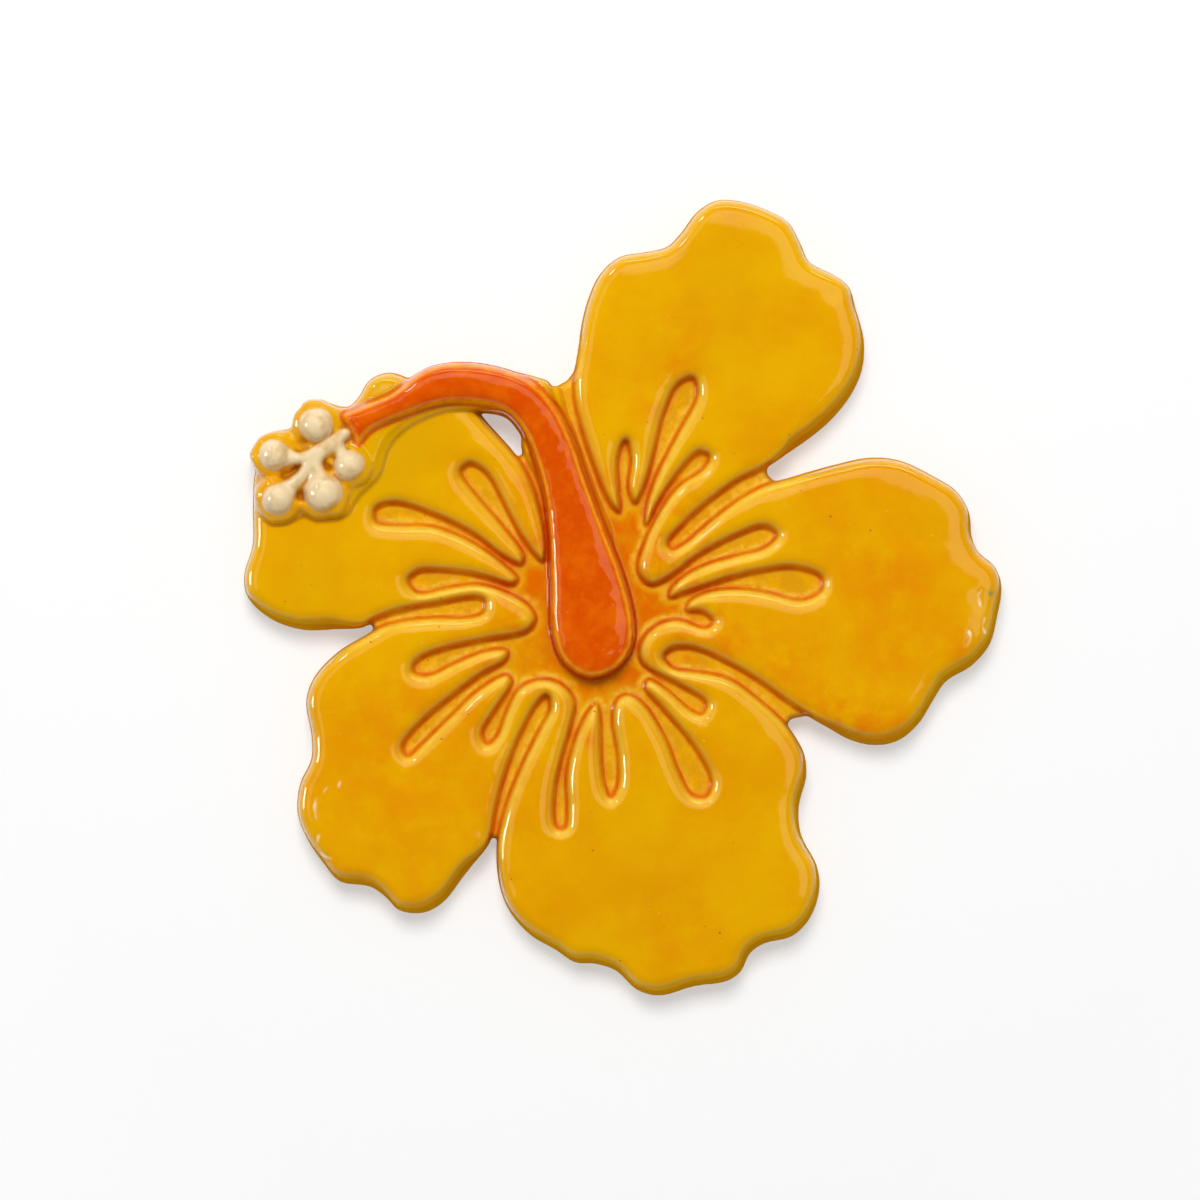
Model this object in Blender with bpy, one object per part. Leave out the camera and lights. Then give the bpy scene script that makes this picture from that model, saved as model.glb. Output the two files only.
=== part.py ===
"""Ceramic hibiscus flower: a one-piece glazed clay relief that lies flat on its back.

Five ruffled petals stand above a lower web.  Narrow grooves run outward from the
middle, and a long curved pistil crosses the upper left petal to five round beads.
Lengths in the outlines are millimetres; the finished mesh is in metres.
"""
import bpy
import bmesh
from mathutils import Matrix, Vector

MM = 0.001

# ---- driving dimensions (mm) ------------------------------------------------------
PETAL_TOP = 9.0         # height of the petal tops above the flat back
WEB_TOP = 6.0           # height of the sunken middle and the groove floors
STEM_BED_TOP = 7.8      # low strip of clay beside the pistil
SPRAY_BED_TOP = 10.6    # lumpy bed under the pistil tip and the beads
PETAL_EDGE = 0.55       # rounding on the petal edges
BED_EDGE = 0.9          # rounding on the beds
BEAD_CENTRE = 11.1      # height of the bead centres
PISTIL_SQUASH = 0.66    # height of the pressed roll over its width
BELOW_BACK = 2.0        # clay drawn below the back, then trimmed flat
DEPTH_STEP = 0.4        # each slab starts a little deeper, so no two bottoms meet

# ---- outlines, clockwise from the left foot of the top petal (mm) -------------------
TOP_PETAL = [
    (-9.0, 41.5), (-8.4, 46.2), (-7.9, 51.0), (-6.6, 56.2), (-4.3, 61.0), (-0.6, 64.2),
    (4.2, 65.1), (8.3, 66.1), (10.9, 68.7), (13.8, 72.5), (17.5, 74.8), (22.0, 74.7),
    (27.0, 73.1), (31.2, 70.7), (33.4, 67.0), (35.2, 63.2), (39.6, 60.9), (42.6, 58.6),
    (43.9, 54.5), (45.5, 48.5), (45.2, 43.0), (43.0, 37.9), (39.1, 33.1), (34.1, 29.0),
    (28.6, 25.6)]
TOP_RIGHT_SLOT = [
    (25.8, 24.0), (21.6, 22.0), (15.2, 17.3), (10.8, 13.2), (8.4, 10.3), (9.2, 9.1),
    (11.4, 10.1), (16.6, 14.5), (22.0, 18.6), (27.2, 21.3)]
RIGHT_PETAL = [
    (31.2, 22.5), (35.0, 23.8), (40.0, 25.2), (46.5, 26.5), (52.3, 25.9), (58.4, 23.0),
    (62.8, 20.2), (65.3, 16.0), (65.8, 11.4), (66.9, 8.8), (70.0, 6.0), (71.4, 2.2),
    (70.6, -3.5), (69.2, -8.8), (65.8, -12.9), (60.9, -15.9), (58.6, -19.3), (55.8, -23.8),
    (52.0, -27.0), (47.5, -27.9), (42.6, -26.8), (38.6, -24.5)]
RIGHT_BOTTOM_SLOT = [
    (35.4, -22.4), (31.5, -19.9), (25.0, -15.2), (18.5, -11.5), (13.4, -9.4), (9.4, -9.4),
    (7.7, -10.9), (9.4, -13.1), (14.0, -13.8), (19.8, -15.1), (25.0, -18.7), (29.4, -22.5)]
BOTTOM_PETAL = [
    (31.7, -25.1), (34.2, -29.2), (34.7, -33.5), (33.3, -39.2), (33.7, -44.6), (36.5, -50.0),
    (37.2, -54.5), (35.4, -60.3), (32.0, -63.8), (26.7, -65.2), (24.1, -67.0), (22.3, -70.5),
    (19.6, -72.3), (13.6, -73.2), (7.0, -75.0), (2.6, -73.8), (-1.2, -70.3), (-5.1, -69.0),
    (-9.0, -68.7), (-12.5, -66.4), (-17.3, -63.6), (-21.2, -59.2), (-23.3, -53.8),
    (-23.7, -48.1)]
BOTTOM_LEFT_SLOT = [
    (-23.1, -43.6), (-21.6, -38.2), (-18.9, -31.5), (-15.3, -24.2), (-13.5, -20.4),
    (-14.2, -18.3), (-15.8, -19.6), (-18.9, -25.1), (-21.6, -31.8), (-23.5, -38.6),
    (-24.5, -43.8)]
LOWER_LEFT_PETAL = [
    (-25.4, -46.6), (-30.0, -52.8), (-33.4, -57.2), (-36.6, -59.2), (-39.6, -59.5),
    (-42.4, -58.7), (-44.4, -56.6), (-47.4, -54.5), (-53.2, -53.5), (-56.3, -50.0),
    (-59.2, -45.7), (-61.2, -40.3), (-60.7, -34.8), (-58.6, -30.2), (-58.6, -25.6),
    (-59.6, -19.4), (-58.0, -14.7), (-53.6, -10.1), (-48.6, -7.3)]
LEFT_SLOT = [
    (-45.2, -5.4), (-41.3, -4.3), (-35.5, -3.7), (-28.6, -3.6), (-26.1, -2.7), (-25.9, -0.5),
    (-28.0, 0.1), (-34.6, -1.0), (-40.4, -2.0), (-45.6, -3.6)]
LEFT_PETAL = [
    (-49.0, -5.5), (-54.3, -6.1), (-60.0, -6.2), (-66.0, -4.2), (-70.4, -0.2), (-71.3, 4.0),
    (-69.6, 10.2), (-69.6, 18.0), (-68.8, 24.6), (-64.0, 29.0), (-56.0, 33.0), (-50.2, 37.2),
    (-47.6, 41.1), (-43.8, 42.5), (-39.6, 41.2), (-33.0, 39.0), (-28.6, 36.6)]

# ---- grooves and fingers round the sunken middle, in the same sweep (mm) -----------
LEFT_GROOVES = [
    (-24.6, 32.2), (-20.4, 27.2), (-17.4, 22.2), (-15.2, 15.5), (-14.3, 9.3), (-14.9, 6.8),
    (-18.2, 10.4), (-21.6, 16.5), (-25.4, 23.3), (-28.6, 25.1), (-30.3, 23.6), (-27.4, 19.2),
    (-22.2, 13.1), (-18.4, 7.7), (-19.0, 6.2), (-22.2, 7.7), (-28.6, 12.4), (-36.6, 16.1),
    (-42.6, 17.8), (-46.1, 16.8), (-46.2, 14.3), (-42.3, 13.6), (-35.6, 13.4), (-28.0, 10.4),
    (-22.1, 6.2), (-19.6, 3.5), (-20.6, 2.5), (-25.8, 4.0), (-33.0, 5.1), (-38.2, 5.0),
    (-40.1, 3.2), (-38.4, 1.0), (-32.8, 1.9), (-27.0, 2.6), (-21.1, 0.8)]
LOWER_LEFT_GROOVES = [
    (-17.3, -1.8), (-16.3, -4.2), (-18.2, -6.4), (-25.6, -7.8), (-33.6, -9.6), (-38.4, -11.6),
    (-39.2, -13.7), (-36.6, -14.5), (-31.4, -12.2), (-25.6, -9.9), (-21.6, -9.8),
    (-21.8, -11.5), (-26.7, -14.5), (-32.6, -19.0), (-38.4, -24.0), (-41.2, -27.8),
    (-40.3, -29.6), (-37.4, -27.2), (-32.0, -21.9), (-26.6, -16.9), (-21.6, -14.4),
    (-20.8, -16.0), (-23.8, -21.0), (-26.3, -25.4), (-25.4, -27.3), (-23.6, -26.0),
    (-21.9, -21.6), (-19.4, -16.9), (-15.0, -15.2)]
BOTTOM_GROOVES = [
    (-11.1, -16.4), (-9.0, -19.5), (-9.8, -24.4), (-12.0, -32.5), (-12.9, -39.4),
    (-12.4, -42.9), (-10.8, -43.1), (-10.3, -40.4), (-10.5, -33.2), (-9.1, -26.9),
    (-6.5, -21.4), (-4.9, -19.8), (-4.2, -22.4), (-4.0, -29.0), (-3.4, -35.0), (-2.2, -37.3),
    (-0.9, -35.2), (-0.9, -29.4), (-1.9, -22.6), (-1.0, -19.0), (1.0, -18.1), (3.6, -19.5),
    (8.1, -26.5), (10.6, -32.9), (13.0, -36.9), (15.7, -37.1), (16.6, -34.0), (13.2, -27.6),
    (7.6, -20.8), (4.1, -16.6), (4.9, -15.3), (8.6, -17.4), (12.6, -20.9), (14.9, -21.7),
    (15.6, -19.6), (11.1, -16.6), (6.2, -14.0)]
RIGHT_GROOVES = [
    (3.5, -11.9), (3.3, -8.6), (6.4, -5.1), (10.4, -4.1), (15.6, -5.6), (16.9, -4.4),
    (14.9, -2.6), (11.9, -2.3), (12.6, -0.5), (16.4, 1.3), (22.4, 1.7), (28.0, 0.8),
    (33.4, -0.4), (37.1, 1.3), (37.2, 3.9), (32.3, 5.7), (27.0, 5.3), (19.0, 3.4),
    (12.4, 1.2), (8.7, 0.1), (9.6, 2.5), (14.3, 5.7), (21.2, 7.9), (26.6, 9.4), (28.9, 11.8),
    (26.8, 13.4), (20.8, 11.5), (13.8, 7.7), (8.5, 3.7)]
TOP_GROOVES = [
    (5.0, 2.5), (2.9, 5.2), (4.0, 10.1), (7.1, 16.6), (10.6, 21.1), (14.9, 24.0),
    (16.2, 26.4), (14.4, 27.3), (10.8, 23.8), (7.1, 18.5), (4.4, 13.6), (4.2, 16.0),
    (6.2, 22.6), (10.6, 31.2), (14.0, 38.0), (13.2, 41.1), (10.4, 40.0), (7.8, 34.7),
    (6.0, 27.9), (4.3, 21.4), (2.3, 17.7), (1.1, 20.6), (1.6, 26.0), (0.6, 29.4),
    (-0.8, 26.6), (-0.8, 21.0), (-0.6, 16.0), (-2.2, 17.4), (-5.1, 24.0), (-7.6, 31.4),
    (-9.0, 37.4)]
PETALS = (
    TOP_PETAL + TOP_RIGHT_SLOT + RIGHT_PETAL + RIGHT_BOTTOM_SLOT + BOTTOM_PETAL
    + BOTTOM_LEFT_SLOT + LOWER_LEFT_PETAL + LEFT_SLOT + LEFT_PETAL + LEFT_GROOVES
    + LOWER_LEFT_GROOVES + BOTTOM_GROOVES + RIGHT_GROOVES + TOP_GROOVES)

# The sunken slab shows in the middle, in the grooves and in the five notches.
WEB = [
    (-12.0, 40.1), (-10.6, 40.9), (-9.5, 42.3), (-8.0, 44.5), (2.0, 45.0), (14.0, 45.0),
    (22.0, 36.0), (28.0, 26.4), (27.2, 23.7), (28.4, 22.2), (32.0, 20.6), (42.0, 12.0),
    (43.0, -2.0), (40.0, -14.0), (36.6, -21.6), (33.9, -22.4), (31.6, -23.0), (30.6, -25.2),
    (27.0, -34.0), (18.0, -43.0), (2.0, -46.0), (-12.0, -49.0), (-21.8, -47.4),
    (-24.0, -45.2), (-26.4, -45.6), (-34.0, -42.0), (-47.0, -34.0), (-50.0, -20.0),
    (-49.0, -9.4), (-47.0, -6.2), (-47.2, -5.2), (-50.0, -3.0), (-54.0, 6.0), (-52.0, 18.0),
    (-44.0, 25.0), (-34.0, 29.0), (-26.0, 28.0), (-21.4, 26.6), (-19.0, 27.0), (-15.4, 30.0),
    (-13.4, 36.0)]

# Low strip of clay either side of the pistil, and the lumpy bed below its outer half.
STEM_BED = [
    (-12.1, 40.0), (-10.2, 34.6), (-8.2, 29.6), (-4.4, 19.0), (-1.6, 10.4), (-6.0, 2.0),
    (-12.0, 6.0), (-14.4, 16.5), (-16.6, 22.6), (-19.0, 27.4), (-19.0, 31.0), (-17.0, 37.0)]
SPRAY_BED = [
    (-13.6, 40.5), (-12.6, 36.0), (-14.0, 31.0), (-18.4, 29.2), (-19.5, 31.0),
    (-22.0, 33.8), (-26.6, 34.7), (-33.0, 34.4), (-40.0, 31.2), (-43.1, 27.9), (-45.0, 22.6),
    (-49.1, 18.4), (-51.5, 14.9), (-55.4, 14.8), (-58.0, 15.4), (-62.4, 13.8), (-66.1, 15.3),
    (-68.0, 20.8), (-67.8, 27.2), (-65.0, 31.1), (-61.7, 32.4), (-60.4, 35.4), (-57.0, 36.8),
    (-51.5, 36.0), (-44.0, 39.0), (-37.0, 43.2), (-30.0, 44.3), (-23.0, 43.2), (-16.5, 41.7)]

# Pistil stations from the rounded foot to the tip: x, y, half width, crest height (mm).
PISTIL = [
    (-5.2, -14.6, 0.6, 7.2), (-5.2, -13.9, 3.6, 9.3), (-5.2, -12.0, 6.0, 10.6),
    (-5.3, -7.0, 7.7, 11.2), (-5.9, 1.0, 7.2, 11.2), (-7.9, 11.0, 5.5, 11.3),
    (-10.4, 21.0, 4.3, 11.9), (-13.6, 30.0, 4.2, 12.6), (-18.0, 36.6, 4.3, 13.0),
    (-26.0, 39.9, 4.1, 13.1), (-34.0, 39.6, 3.9, 13.1), (-41.0, 36.5, 3.4, 13.0),
    (-47.0, 33.4, 3.0, 12.9), (-51.0, 31.2, 3.0, 12.7), (-52.3, 30.6, 0.6, 11.4)]
PISTIL_SECTION_STEPS = 18

# Beads: x, y, radius (mm).  Threads: run of x, y, half width from bead to pistil (mm).
BEADS = [
    (-57.2, 32.3, 2.9), (-65.0, 26.7, 2.7), (-64.3, 18.5, 2.8), (-55.9, 19.4, 3.3),
    (-51.1, 24.7, 2.7)]
THREADS = [
    [(-51.5, 31.0, 1.2), (-54.0, 28.8, 1.1), (-57.6, 26.6, 1.4), (-61.0, 26.0, 1.0),
     (-64.0, 26.6, 0.9)],
    [(-57.9, 26.9, 1.0), (-59.2, 23.8, 1.1), (-61.6, 21.3, 1.2), (-64.0, 19.2, 1.0)],
    [(-55.9, 27.4, 0.8), (-57.3, 25.2, 1.2), (-56.9, 22.8, 1.4), (-56.1, 20.2, 1.5)],
    [(-53.4, 29.0, 0.9), (-52.4, 26.6, 1.0), (-51.2, 25.0, 1.0)]]
THREAD_TOP = 12.4


def clear_scene():
    """Remove whatever is in the file before the flower is built."""
    for thing in list(bpy.data.objects):
        bpy.data.objects.remove(thing, do_unlink=True)


def as_mesh(maker):
    """Turn a curve object into a plain mesh object with the same name."""
    graph = bpy.context.evaluated_depsgraph_get()
    graph.update()
    mesh = bpy.data.meshes.new_from_object(maker.evaluated_get(graph))
    name = maker.name
    bpy.data.objects.remove(maker, do_unlink=True)
    solid = bpy.data.objects.new(name + "_solid", mesh)
    bpy.context.collection.objects.link(solid)
    return solid


def drawn_slab(name, points, top, edge, steps, layer):
    """Extrude a smooth closed outline up to a height, with a rounded top edge."""
    curve = bpy.data.curves.new(name, "CURVE")
    curve.dimensions = "2D"
    curve.fill_mode = "BOTH"
    curve.resolution_u = steps
    spline = curve.splines.new("BEZIER")
    spline.bezier_points.add(len(points) - 1)
    for knot, (x, y) in zip(spline.bezier_points, points):
        knot.co = (x * MM, y * MM, 0.0)
        knot.handle_left_type = "AUTO"
        knot.handle_right_type = "AUTO"
    spline.use_cyclic_u = True
    half = (top + BELOW_BACK + DEPTH_STEP * layer) / 2.0
    curve.extrude = (half - edge) * MM
    curve.bevel_depth = edge * MM
    curve.bevel_resolution = 1
    curve.offset = -edge * MM
    drawn = bpy.data.objects.new(name, curve)
    drawn.location.z = (top - half) * MM
    bpy.context.collection.objects.link(drawn)
    solid = as_mesh(drawn)
    solid.data.transform(Matrix.Translation((0.0, 0.0, (top - half) * MM)))
    weld(solid)
    return solid


def weld(solid):
    """Close the seams between the faces of a converted curve."""
    work = bmesh.new()
    work.from_mesh(solid.data)
    bmesh.ops.remove_doubles(work, verts=work.verts, dist=0.000002)
    bmesh.ops.recalc_face_normals(work, faces=work.faces)
    work.to_mesh(solid.data)
    work.free()


def smooth_run(stations, steps):
    """Pass a smooth run through stations of any length, ends included."""
    ends = [stations[0]] + list(stations) + [stations[-1]]
    run = []
    for before, start, end, after in zip(ends, ends[1:], ends[2:], ends[3:]):
        for step in range(steps):
            t = step / steps
            run.append([
                0.5 * (2 * b + (c - a) * t + (2 * a - 5 * b + 4 * c - d) * t * t
                       + (3 * b - a - 3 * c + d) * t * t * t)
                for a, b, c, d in zip(before, start, end, after)])
    run.append(list(stations[-1]))
    return run


def rounded_rod(name, stations, squash, around, steps):
    """Loft an oval rod along stations of x, y, half width and crest height."""
    run = smooth_run(stations, steps)
    work = bmesh.new()
    rings = []
    for index, (x, y, wide, crest) in enumerate(run):
        ahead = run[min(index + 1, len(run) - 1)]
        behind = run[max(index - 1, 0)]
        along = Vector((ahead[0] - behind[0], ahead[1] - behind[1], 0.0)).normalized()
        side = Vector((-along.y, along.x, 0.0))
        tall = max(wide * squash, 0.4)
        level = crest - tall
        ring = []
        for corner in range(around):
            turn = Matrix.Rotation(6.283185307 * corner / around, 2)
            across, up = turn @ Vector((1.0, 0.0))
            spot = Vector((x, y, level)) + side * across * wide + Vector((0, 0, up * tall))
            ring.append(work.verts.new(spot * MM))
        rings.append(ring)
    for ring, after in zip(rings, rings[1:]):
        for corner in range(around):
            other = (corner + 1) % around
            work.faces.new((ring[corner], ring[other], after[other], after[corner]))
    work.faces.new(rings[0])
    work.faces.new(rings[-1])
    bmesh.ops.recalc_face_normals(work, faces=work.faces)
    mesh = bpy.data.meshes.new(name)
    work.to_mesh(mesh)
    work.free()
    rod = bpy.data.objects.new(name, mesh)
    bpy.context.collection.objects.link(rod)
    return rod


def bead(name, x, y, radius):
    """A slightly flattened ball sitting in the spray bed."""
    work = bmesh.new()
    bmesh.ops.create_uvsphere(work, u_segments=16, v_segments=10, radius=radius * MM)
    place = Matrix.Translation((x * MM, y * MM, BEAD_CENTRE * MM))
    bmesh.ops.transform(work, matrix=place, verts=work.verts)
    mesh = bpy.data.meshes.new(name)
    work.to_mesh(mesh)
    work.free()
    ball = bpy.data.objects.new(name, mesh)
    bpy.context.collection.objects.link(ball)
    return ball


def combine(body, other, operation):
    """Join or cut one solid with another, then drop the helper."""
    step = body.modifiers.new("combine", "BOOLEAN")
    step.operation = operation
    step.solver = "EXACT"
    step.object = other
    graph = bpy.context.evaluated_depsgraph_get()
    graph.update()
    mesh = bpy.data.meshes.new_from_object(body.evaluated_get(graph))
    body.modifiers.clear()
    body.data = mesh
    bpy.data.objects.remove(other, do_unlink=True)


def trimming_block():
    """A block that fills the space below the flat back."""
    work = bmesh.new()
    bmesh.ops.create_cube(work, size=1.0)
    size = Matrix.Diagonal((0.2, 0.2, 0.02, 1.0))
    bmesh.ops.transform(work, matrix=Matrix.Translation((0, 0, -0.01)) @ size, verts=work.verts)
    mesh = bpy.data.meshes.new("trimming_block")
    work.to_mesh(mesh)
    work.free()
    block = bpy.data.objects.new("trimming_block", mesh)
    bpy.context.collection.objects.link(block)
    return block


def tidy_faces(body):
    """Merge stray short edges left by the joins and turn every face outward."""
    work = bmesh.new()
    work.from_mesh(body.data)
    bmesh.ops.remove_doubles(work, verts=work.verts, dist=0.00004)
    bmesh.ops.dissolve_degenerate(work, edges=work.edges, dist=0.00002)
    bmesh.ops.triangulate(work, faces=work.faces)
    bmesh.ops.recalc_face_normals(work, faces=work.faces)
    work.to_mesh(body.data)
    work.free()


def centre_on_origin(body):
    """Slide the flower so that the origin is below the middle of its outer box."""
    xs = [point.co.x for point in body.data.vertices]
    ys = [point.co.y for point in body.data.vertices]
    shift = Vector((-(min(xs) + max(xs)) / 2.0, -(min(ys) + max(ys)) / 2.0, 0.0))
    body.data.transform(Matrix.Translation(shift))


def glaze():
    """Glossy amber glaze for the whole fired piece."""
    look = bpy.data.materials.new("glazed_ceramic")
    look.use_nodes = True
    shade = look.node_tree.nodes["Principled BSDF"]
    shade.inputs["Base Color"].default_value = (0.78, 0.38, 0.008, 1.0)
    shade.inputs["Roughness"].default_value = 0.18
    return look


clear_scene()
flower = drawn_slab("petals", PETALS, PETAL_TOP, PETAL_EDGE, 2, 0)
flower.name = "ceramic_hibiscus"
spray = rounded_rod("pistil", PISTIL, PISTIL_SQUASH, PISTIL_SECTION_STEPS, 3)
for number, (x, y, radius) in enumerate(BEADS):
    combine(spray, bead(f"bead_{number}", x, y, radius), "UNION")
for number, run in enumerate(THREADS):
    levelled = [(x, y, wide, THREAD_TOP - 0.23 * number) for x, y, wide in run]
    thread = rounded_rod(f"thread_{number}", levelled, 1.0, 8, 2)
    combine(spray, thread, "UNION")
combine(flower, drawn_slab("web", WEB, WEB_TOP, PETAL_EDGE, 2, 1), "UNION")
combine(flower, drawn_slab("stem_bed", STEM_BED, STEM_BED_TOP, BED_EDGE, 2, 2), "UNION")
combine(flower, drawn_slab("spray_bed", SPRAY_BED, SPRAY_BED_TOP, BED_EDGE, 3, 3), "UNION")
combine(flower, trimming_block(), "DIFFERENCE")
combine(flower, spray, "UNION")
tidy_faces(flower)
centre_on_origin(flower)
flower.data.materials.clear()
flower.data.materials.append(glaze())
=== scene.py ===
# %% [markdown]
# A glazed clay hibiscus, one fired piece about 150 mm across that lies flat on its back.
# Five ruffled petals stand above a sunken middle, narrow grooves run out from it, and a
# long pistil curves over the upper left petal to five ivory beads.  The maker cut the
# flower from one slab, added rolls of clay, and flooded it with clear amber glaze, so
# every edge is soft.  The shape is built as a height above the table, the way a mould
# maker reads a relief, and then turned into one closed skin.

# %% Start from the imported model
import math
import bpy
import numpy as np
import openvdb
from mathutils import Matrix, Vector


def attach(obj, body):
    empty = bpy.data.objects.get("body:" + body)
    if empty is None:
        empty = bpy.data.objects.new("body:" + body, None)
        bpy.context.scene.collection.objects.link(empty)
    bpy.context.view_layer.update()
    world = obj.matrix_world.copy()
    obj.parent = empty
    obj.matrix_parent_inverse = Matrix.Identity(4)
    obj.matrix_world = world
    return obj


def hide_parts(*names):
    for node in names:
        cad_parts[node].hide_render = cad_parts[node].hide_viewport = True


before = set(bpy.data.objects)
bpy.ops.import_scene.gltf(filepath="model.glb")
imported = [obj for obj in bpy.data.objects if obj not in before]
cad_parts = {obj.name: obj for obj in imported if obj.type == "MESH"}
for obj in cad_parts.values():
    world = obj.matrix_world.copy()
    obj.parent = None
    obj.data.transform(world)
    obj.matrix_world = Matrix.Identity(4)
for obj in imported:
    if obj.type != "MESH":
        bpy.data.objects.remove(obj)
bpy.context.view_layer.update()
MM = 0.001
scene = bpy.context.scene


def placed(name, data):
    made = bpy.data.objects.new(name, data)
    scene.collection.objects.link(made)
    return made


# %% [markdown]
# The outline of the raised clay is one long line.  It goes clockwise round the five
# petals, dips into the slot between each pair, and comes back round the middle in and
# out of every groove.  Points are millimetres, placed only where the line bends.

# %% Outline of the petals and the slots between them
TOP_PETAL = [
    (-9, 41.5), (-8.4, 46.2), (-7.9, 51), (-6.6, 56.2), (-4.3, 61), (-0.6, 64.2),
    (4.2, 65.1), (8.3, 66.1), (10.9, 68.7), (13.8, 72.5), (17.5, 74.8), (22, 74.7),
    (27, 73.1), (31.2, 70.7), (33.4, 67), (35.2, 63.2), (39.6, 60.9), (42.6, 58.6),
    (43.9, 54.5), (45.5, 48.5), (45.2, 43), (43, 37.9), (39.1, 33.1), (34.1, 29),
    (28.6, 25.6)]
TOP_RIGHT_SLOT = [
    (25.8, 24), (21.6, 22), (15.2, 17.3), (10.8, 13.2), (8.4, 10.3), (9.2, 9.1),
    (11.4, 10.1), (16.6, 14.5), (22, 18.6), (27.2, 21.3)]
RIGHT_PETAL = [
    (31.2, 22.5), (35, 23.8), (40, 25.2), (46.5, 26.5), (52.3, 25.9), (58.4, 23),
    (62.8, 20.2), (65.3, 16), (65.8, 11.4), (66.9, 8.8), (70, 6), (71.4, 2.2),
    (70.6, -3.5), (69.2, -8.8), (65.8, -12.9), (60.9, -15.9), (58.6, -19.3), (55.8, -23.8),
    (52, -27), (47.5, -27.9), (42.6, -26.8), (38.6, -24.5)]
RIGHT_BOTTOM_SLOT = [
    (35.4, -22.4), (31.5, -19.9), (25, -15.2), (18.5, -11.5), (13.4, -9.4), (9.4, -9.4),
    (7.7, -10.9), (9.4, -13.1), (14, -13.8), (19.8, -15.1), (25, -18.7), (29.4, -22.5)]
BOTTOM_PETAL = [
    (31.7, -25.1), (34.2, -29.2), (34.7, -33.5), (33.3, -39.2), (33.7, -44.6), (36.5, -50),
    (37.2, -54.5), (35.4, -60.3), (32, -63.8), (26.7, -65.2), (24.1, -67), (22.3, -70.5),
    (19.6, -72.3), (13.6, -73.2), (7, -75), (2.6, -73.8), (-1.2, -70.3), (-5.1, -69),
    (-9, -68.7), (-12.5, -66.4), (-17.3, -63.6), (-21.2, -59.2), (-23.3, -53.8),
    (-23.7, -48.1)]
BOTTOM_LEFT_SLOT = [
    (-23.1, -43.6), (-21.6, -38.2), (-18.9, -31.5), (-15.3, -24.2), (-13.5, -20.4),
    (-14.2, -18.3), (-15.8, -19.6), (-18.9, -25.1), (-21.6, -31.8), (-23.5, -38.6),
    (-24.5, -43.8)]
LOWER_LEFT_PETAL = [
    (-25.4, -46.6), (-30, -52.8), (-33.4, -57.2), (-36.6, -59.2), (-39.6, -59.5),
    (-42.4, -58.7), (-44.4, -56.6), (-47.4, -54.5), (-53.2, -53.5), (-56.3, -50),
    (-59.2, -45.7), (-61.2, -40.3), (-60.7, -34.8), (-58.6, -30.2), (-58.6, -25.6),
    (-59.6, -19.4), (-58, -14.7), (-53.6, -10.1), (-48.6, -7.3)]
LEFT_SLOT = [
    (-45.2, -5.4), (-41.3, -4.3), (-35.5, -3.7), (-28.6, -3.6), (-26.1, -2.7), (-25.9, -0.5),
    (-28, 0.1), (-34.6, -1), (-40.4, -2), (-45.6, -3.6)]
LEFT_PETAL = [
    (-49, -5.5), (-54.3, -6.1), (-60, -6.2), (-66, -4.2), (-70.4, -0.2), (-71.3, 4),
    (-69.6, 10.2), (-69.6, 18), (-68.8, 24.6), (-64, 29), (-56, 33), (-50.2, 37.2),
    (-47.6, 41.1), (-43.8, 42.5), (-39.6, 41.2), (-33, 39), (-28.6, 36.6)]
print("top petal:", len(TOP_PETAL), "points, first slot:", len(TOP_RIGHT_SLOT), "points")

# %% [markdown]
# The grooves are what the knife took out between the fingers of raised clay.  Each one
# is a run of points out along one finger and back along the next.

# %% Grooves and fingers round the middle, petal by petal
LEFT_GROOVES = [
    (-24.6, 32.2), (-20.4, 27.2), (-17.4, 22.2), (-15.2, 15.5), (-14.3, 9.3), (-14.9, 6.8),
    (-18.2, 10.4), (-21.6, 16.5), (-25.4, 23.3), (-28.6, 25.1), (-30.3, 23.6), (-27.4, 19.2),
    (-22.2, 13.1), (-18.4, 7.7), (-19, 6.2), (-22.2, 7.7), (-28.6, 12.4), (-36.6, 16.1),
    (-42.6, 17.8), (-46.1, 16.8), (-46.2, 14.3), (-42.3, 13.6), (-35.6, 13.4), (-28, 10.4),
    (-22.1, 6.2), (-19.6, 3.5), (-20.6, 2.5), (-25.8, 4), (-33, 5.1), (-38.2, 5),
    (-40.1, 3.2), (-38.4, 1), (-32.8, 1.9), (-27, 2.6), (-21.1, 0.8)]
LOWER_LEFT_GROOVES = [
    (-17.3, -1.8), (-16.3, -4.2), (-18.2, -6.4), (-25.6, -7.8), (-33.6, -9.6), (-38.4, -11.6),
    (-39.2, -13.7), (-36.6, -14.5), (-31.4, -12.2), (-25.6, -9.9), (-21.6, -9.8),
    (-21.8, -11.5), (-26.7, -14.5), (-32.6, -19), (-38.4, -24), (-41.2, -27.8),
    (-40.3, -29.6), (-37.4, -27.2), (-32, -21.9), (-26.6, -16.9), (-21.6, -14.4),
    (-20.8, -16), (-23.8, -21), (-26.3, -25.4), (-25.4, -27.3), (-23.6, -26),
    (-21.9, -21.6), (-19.4, -16.9), (-15, -15.2)]
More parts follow.
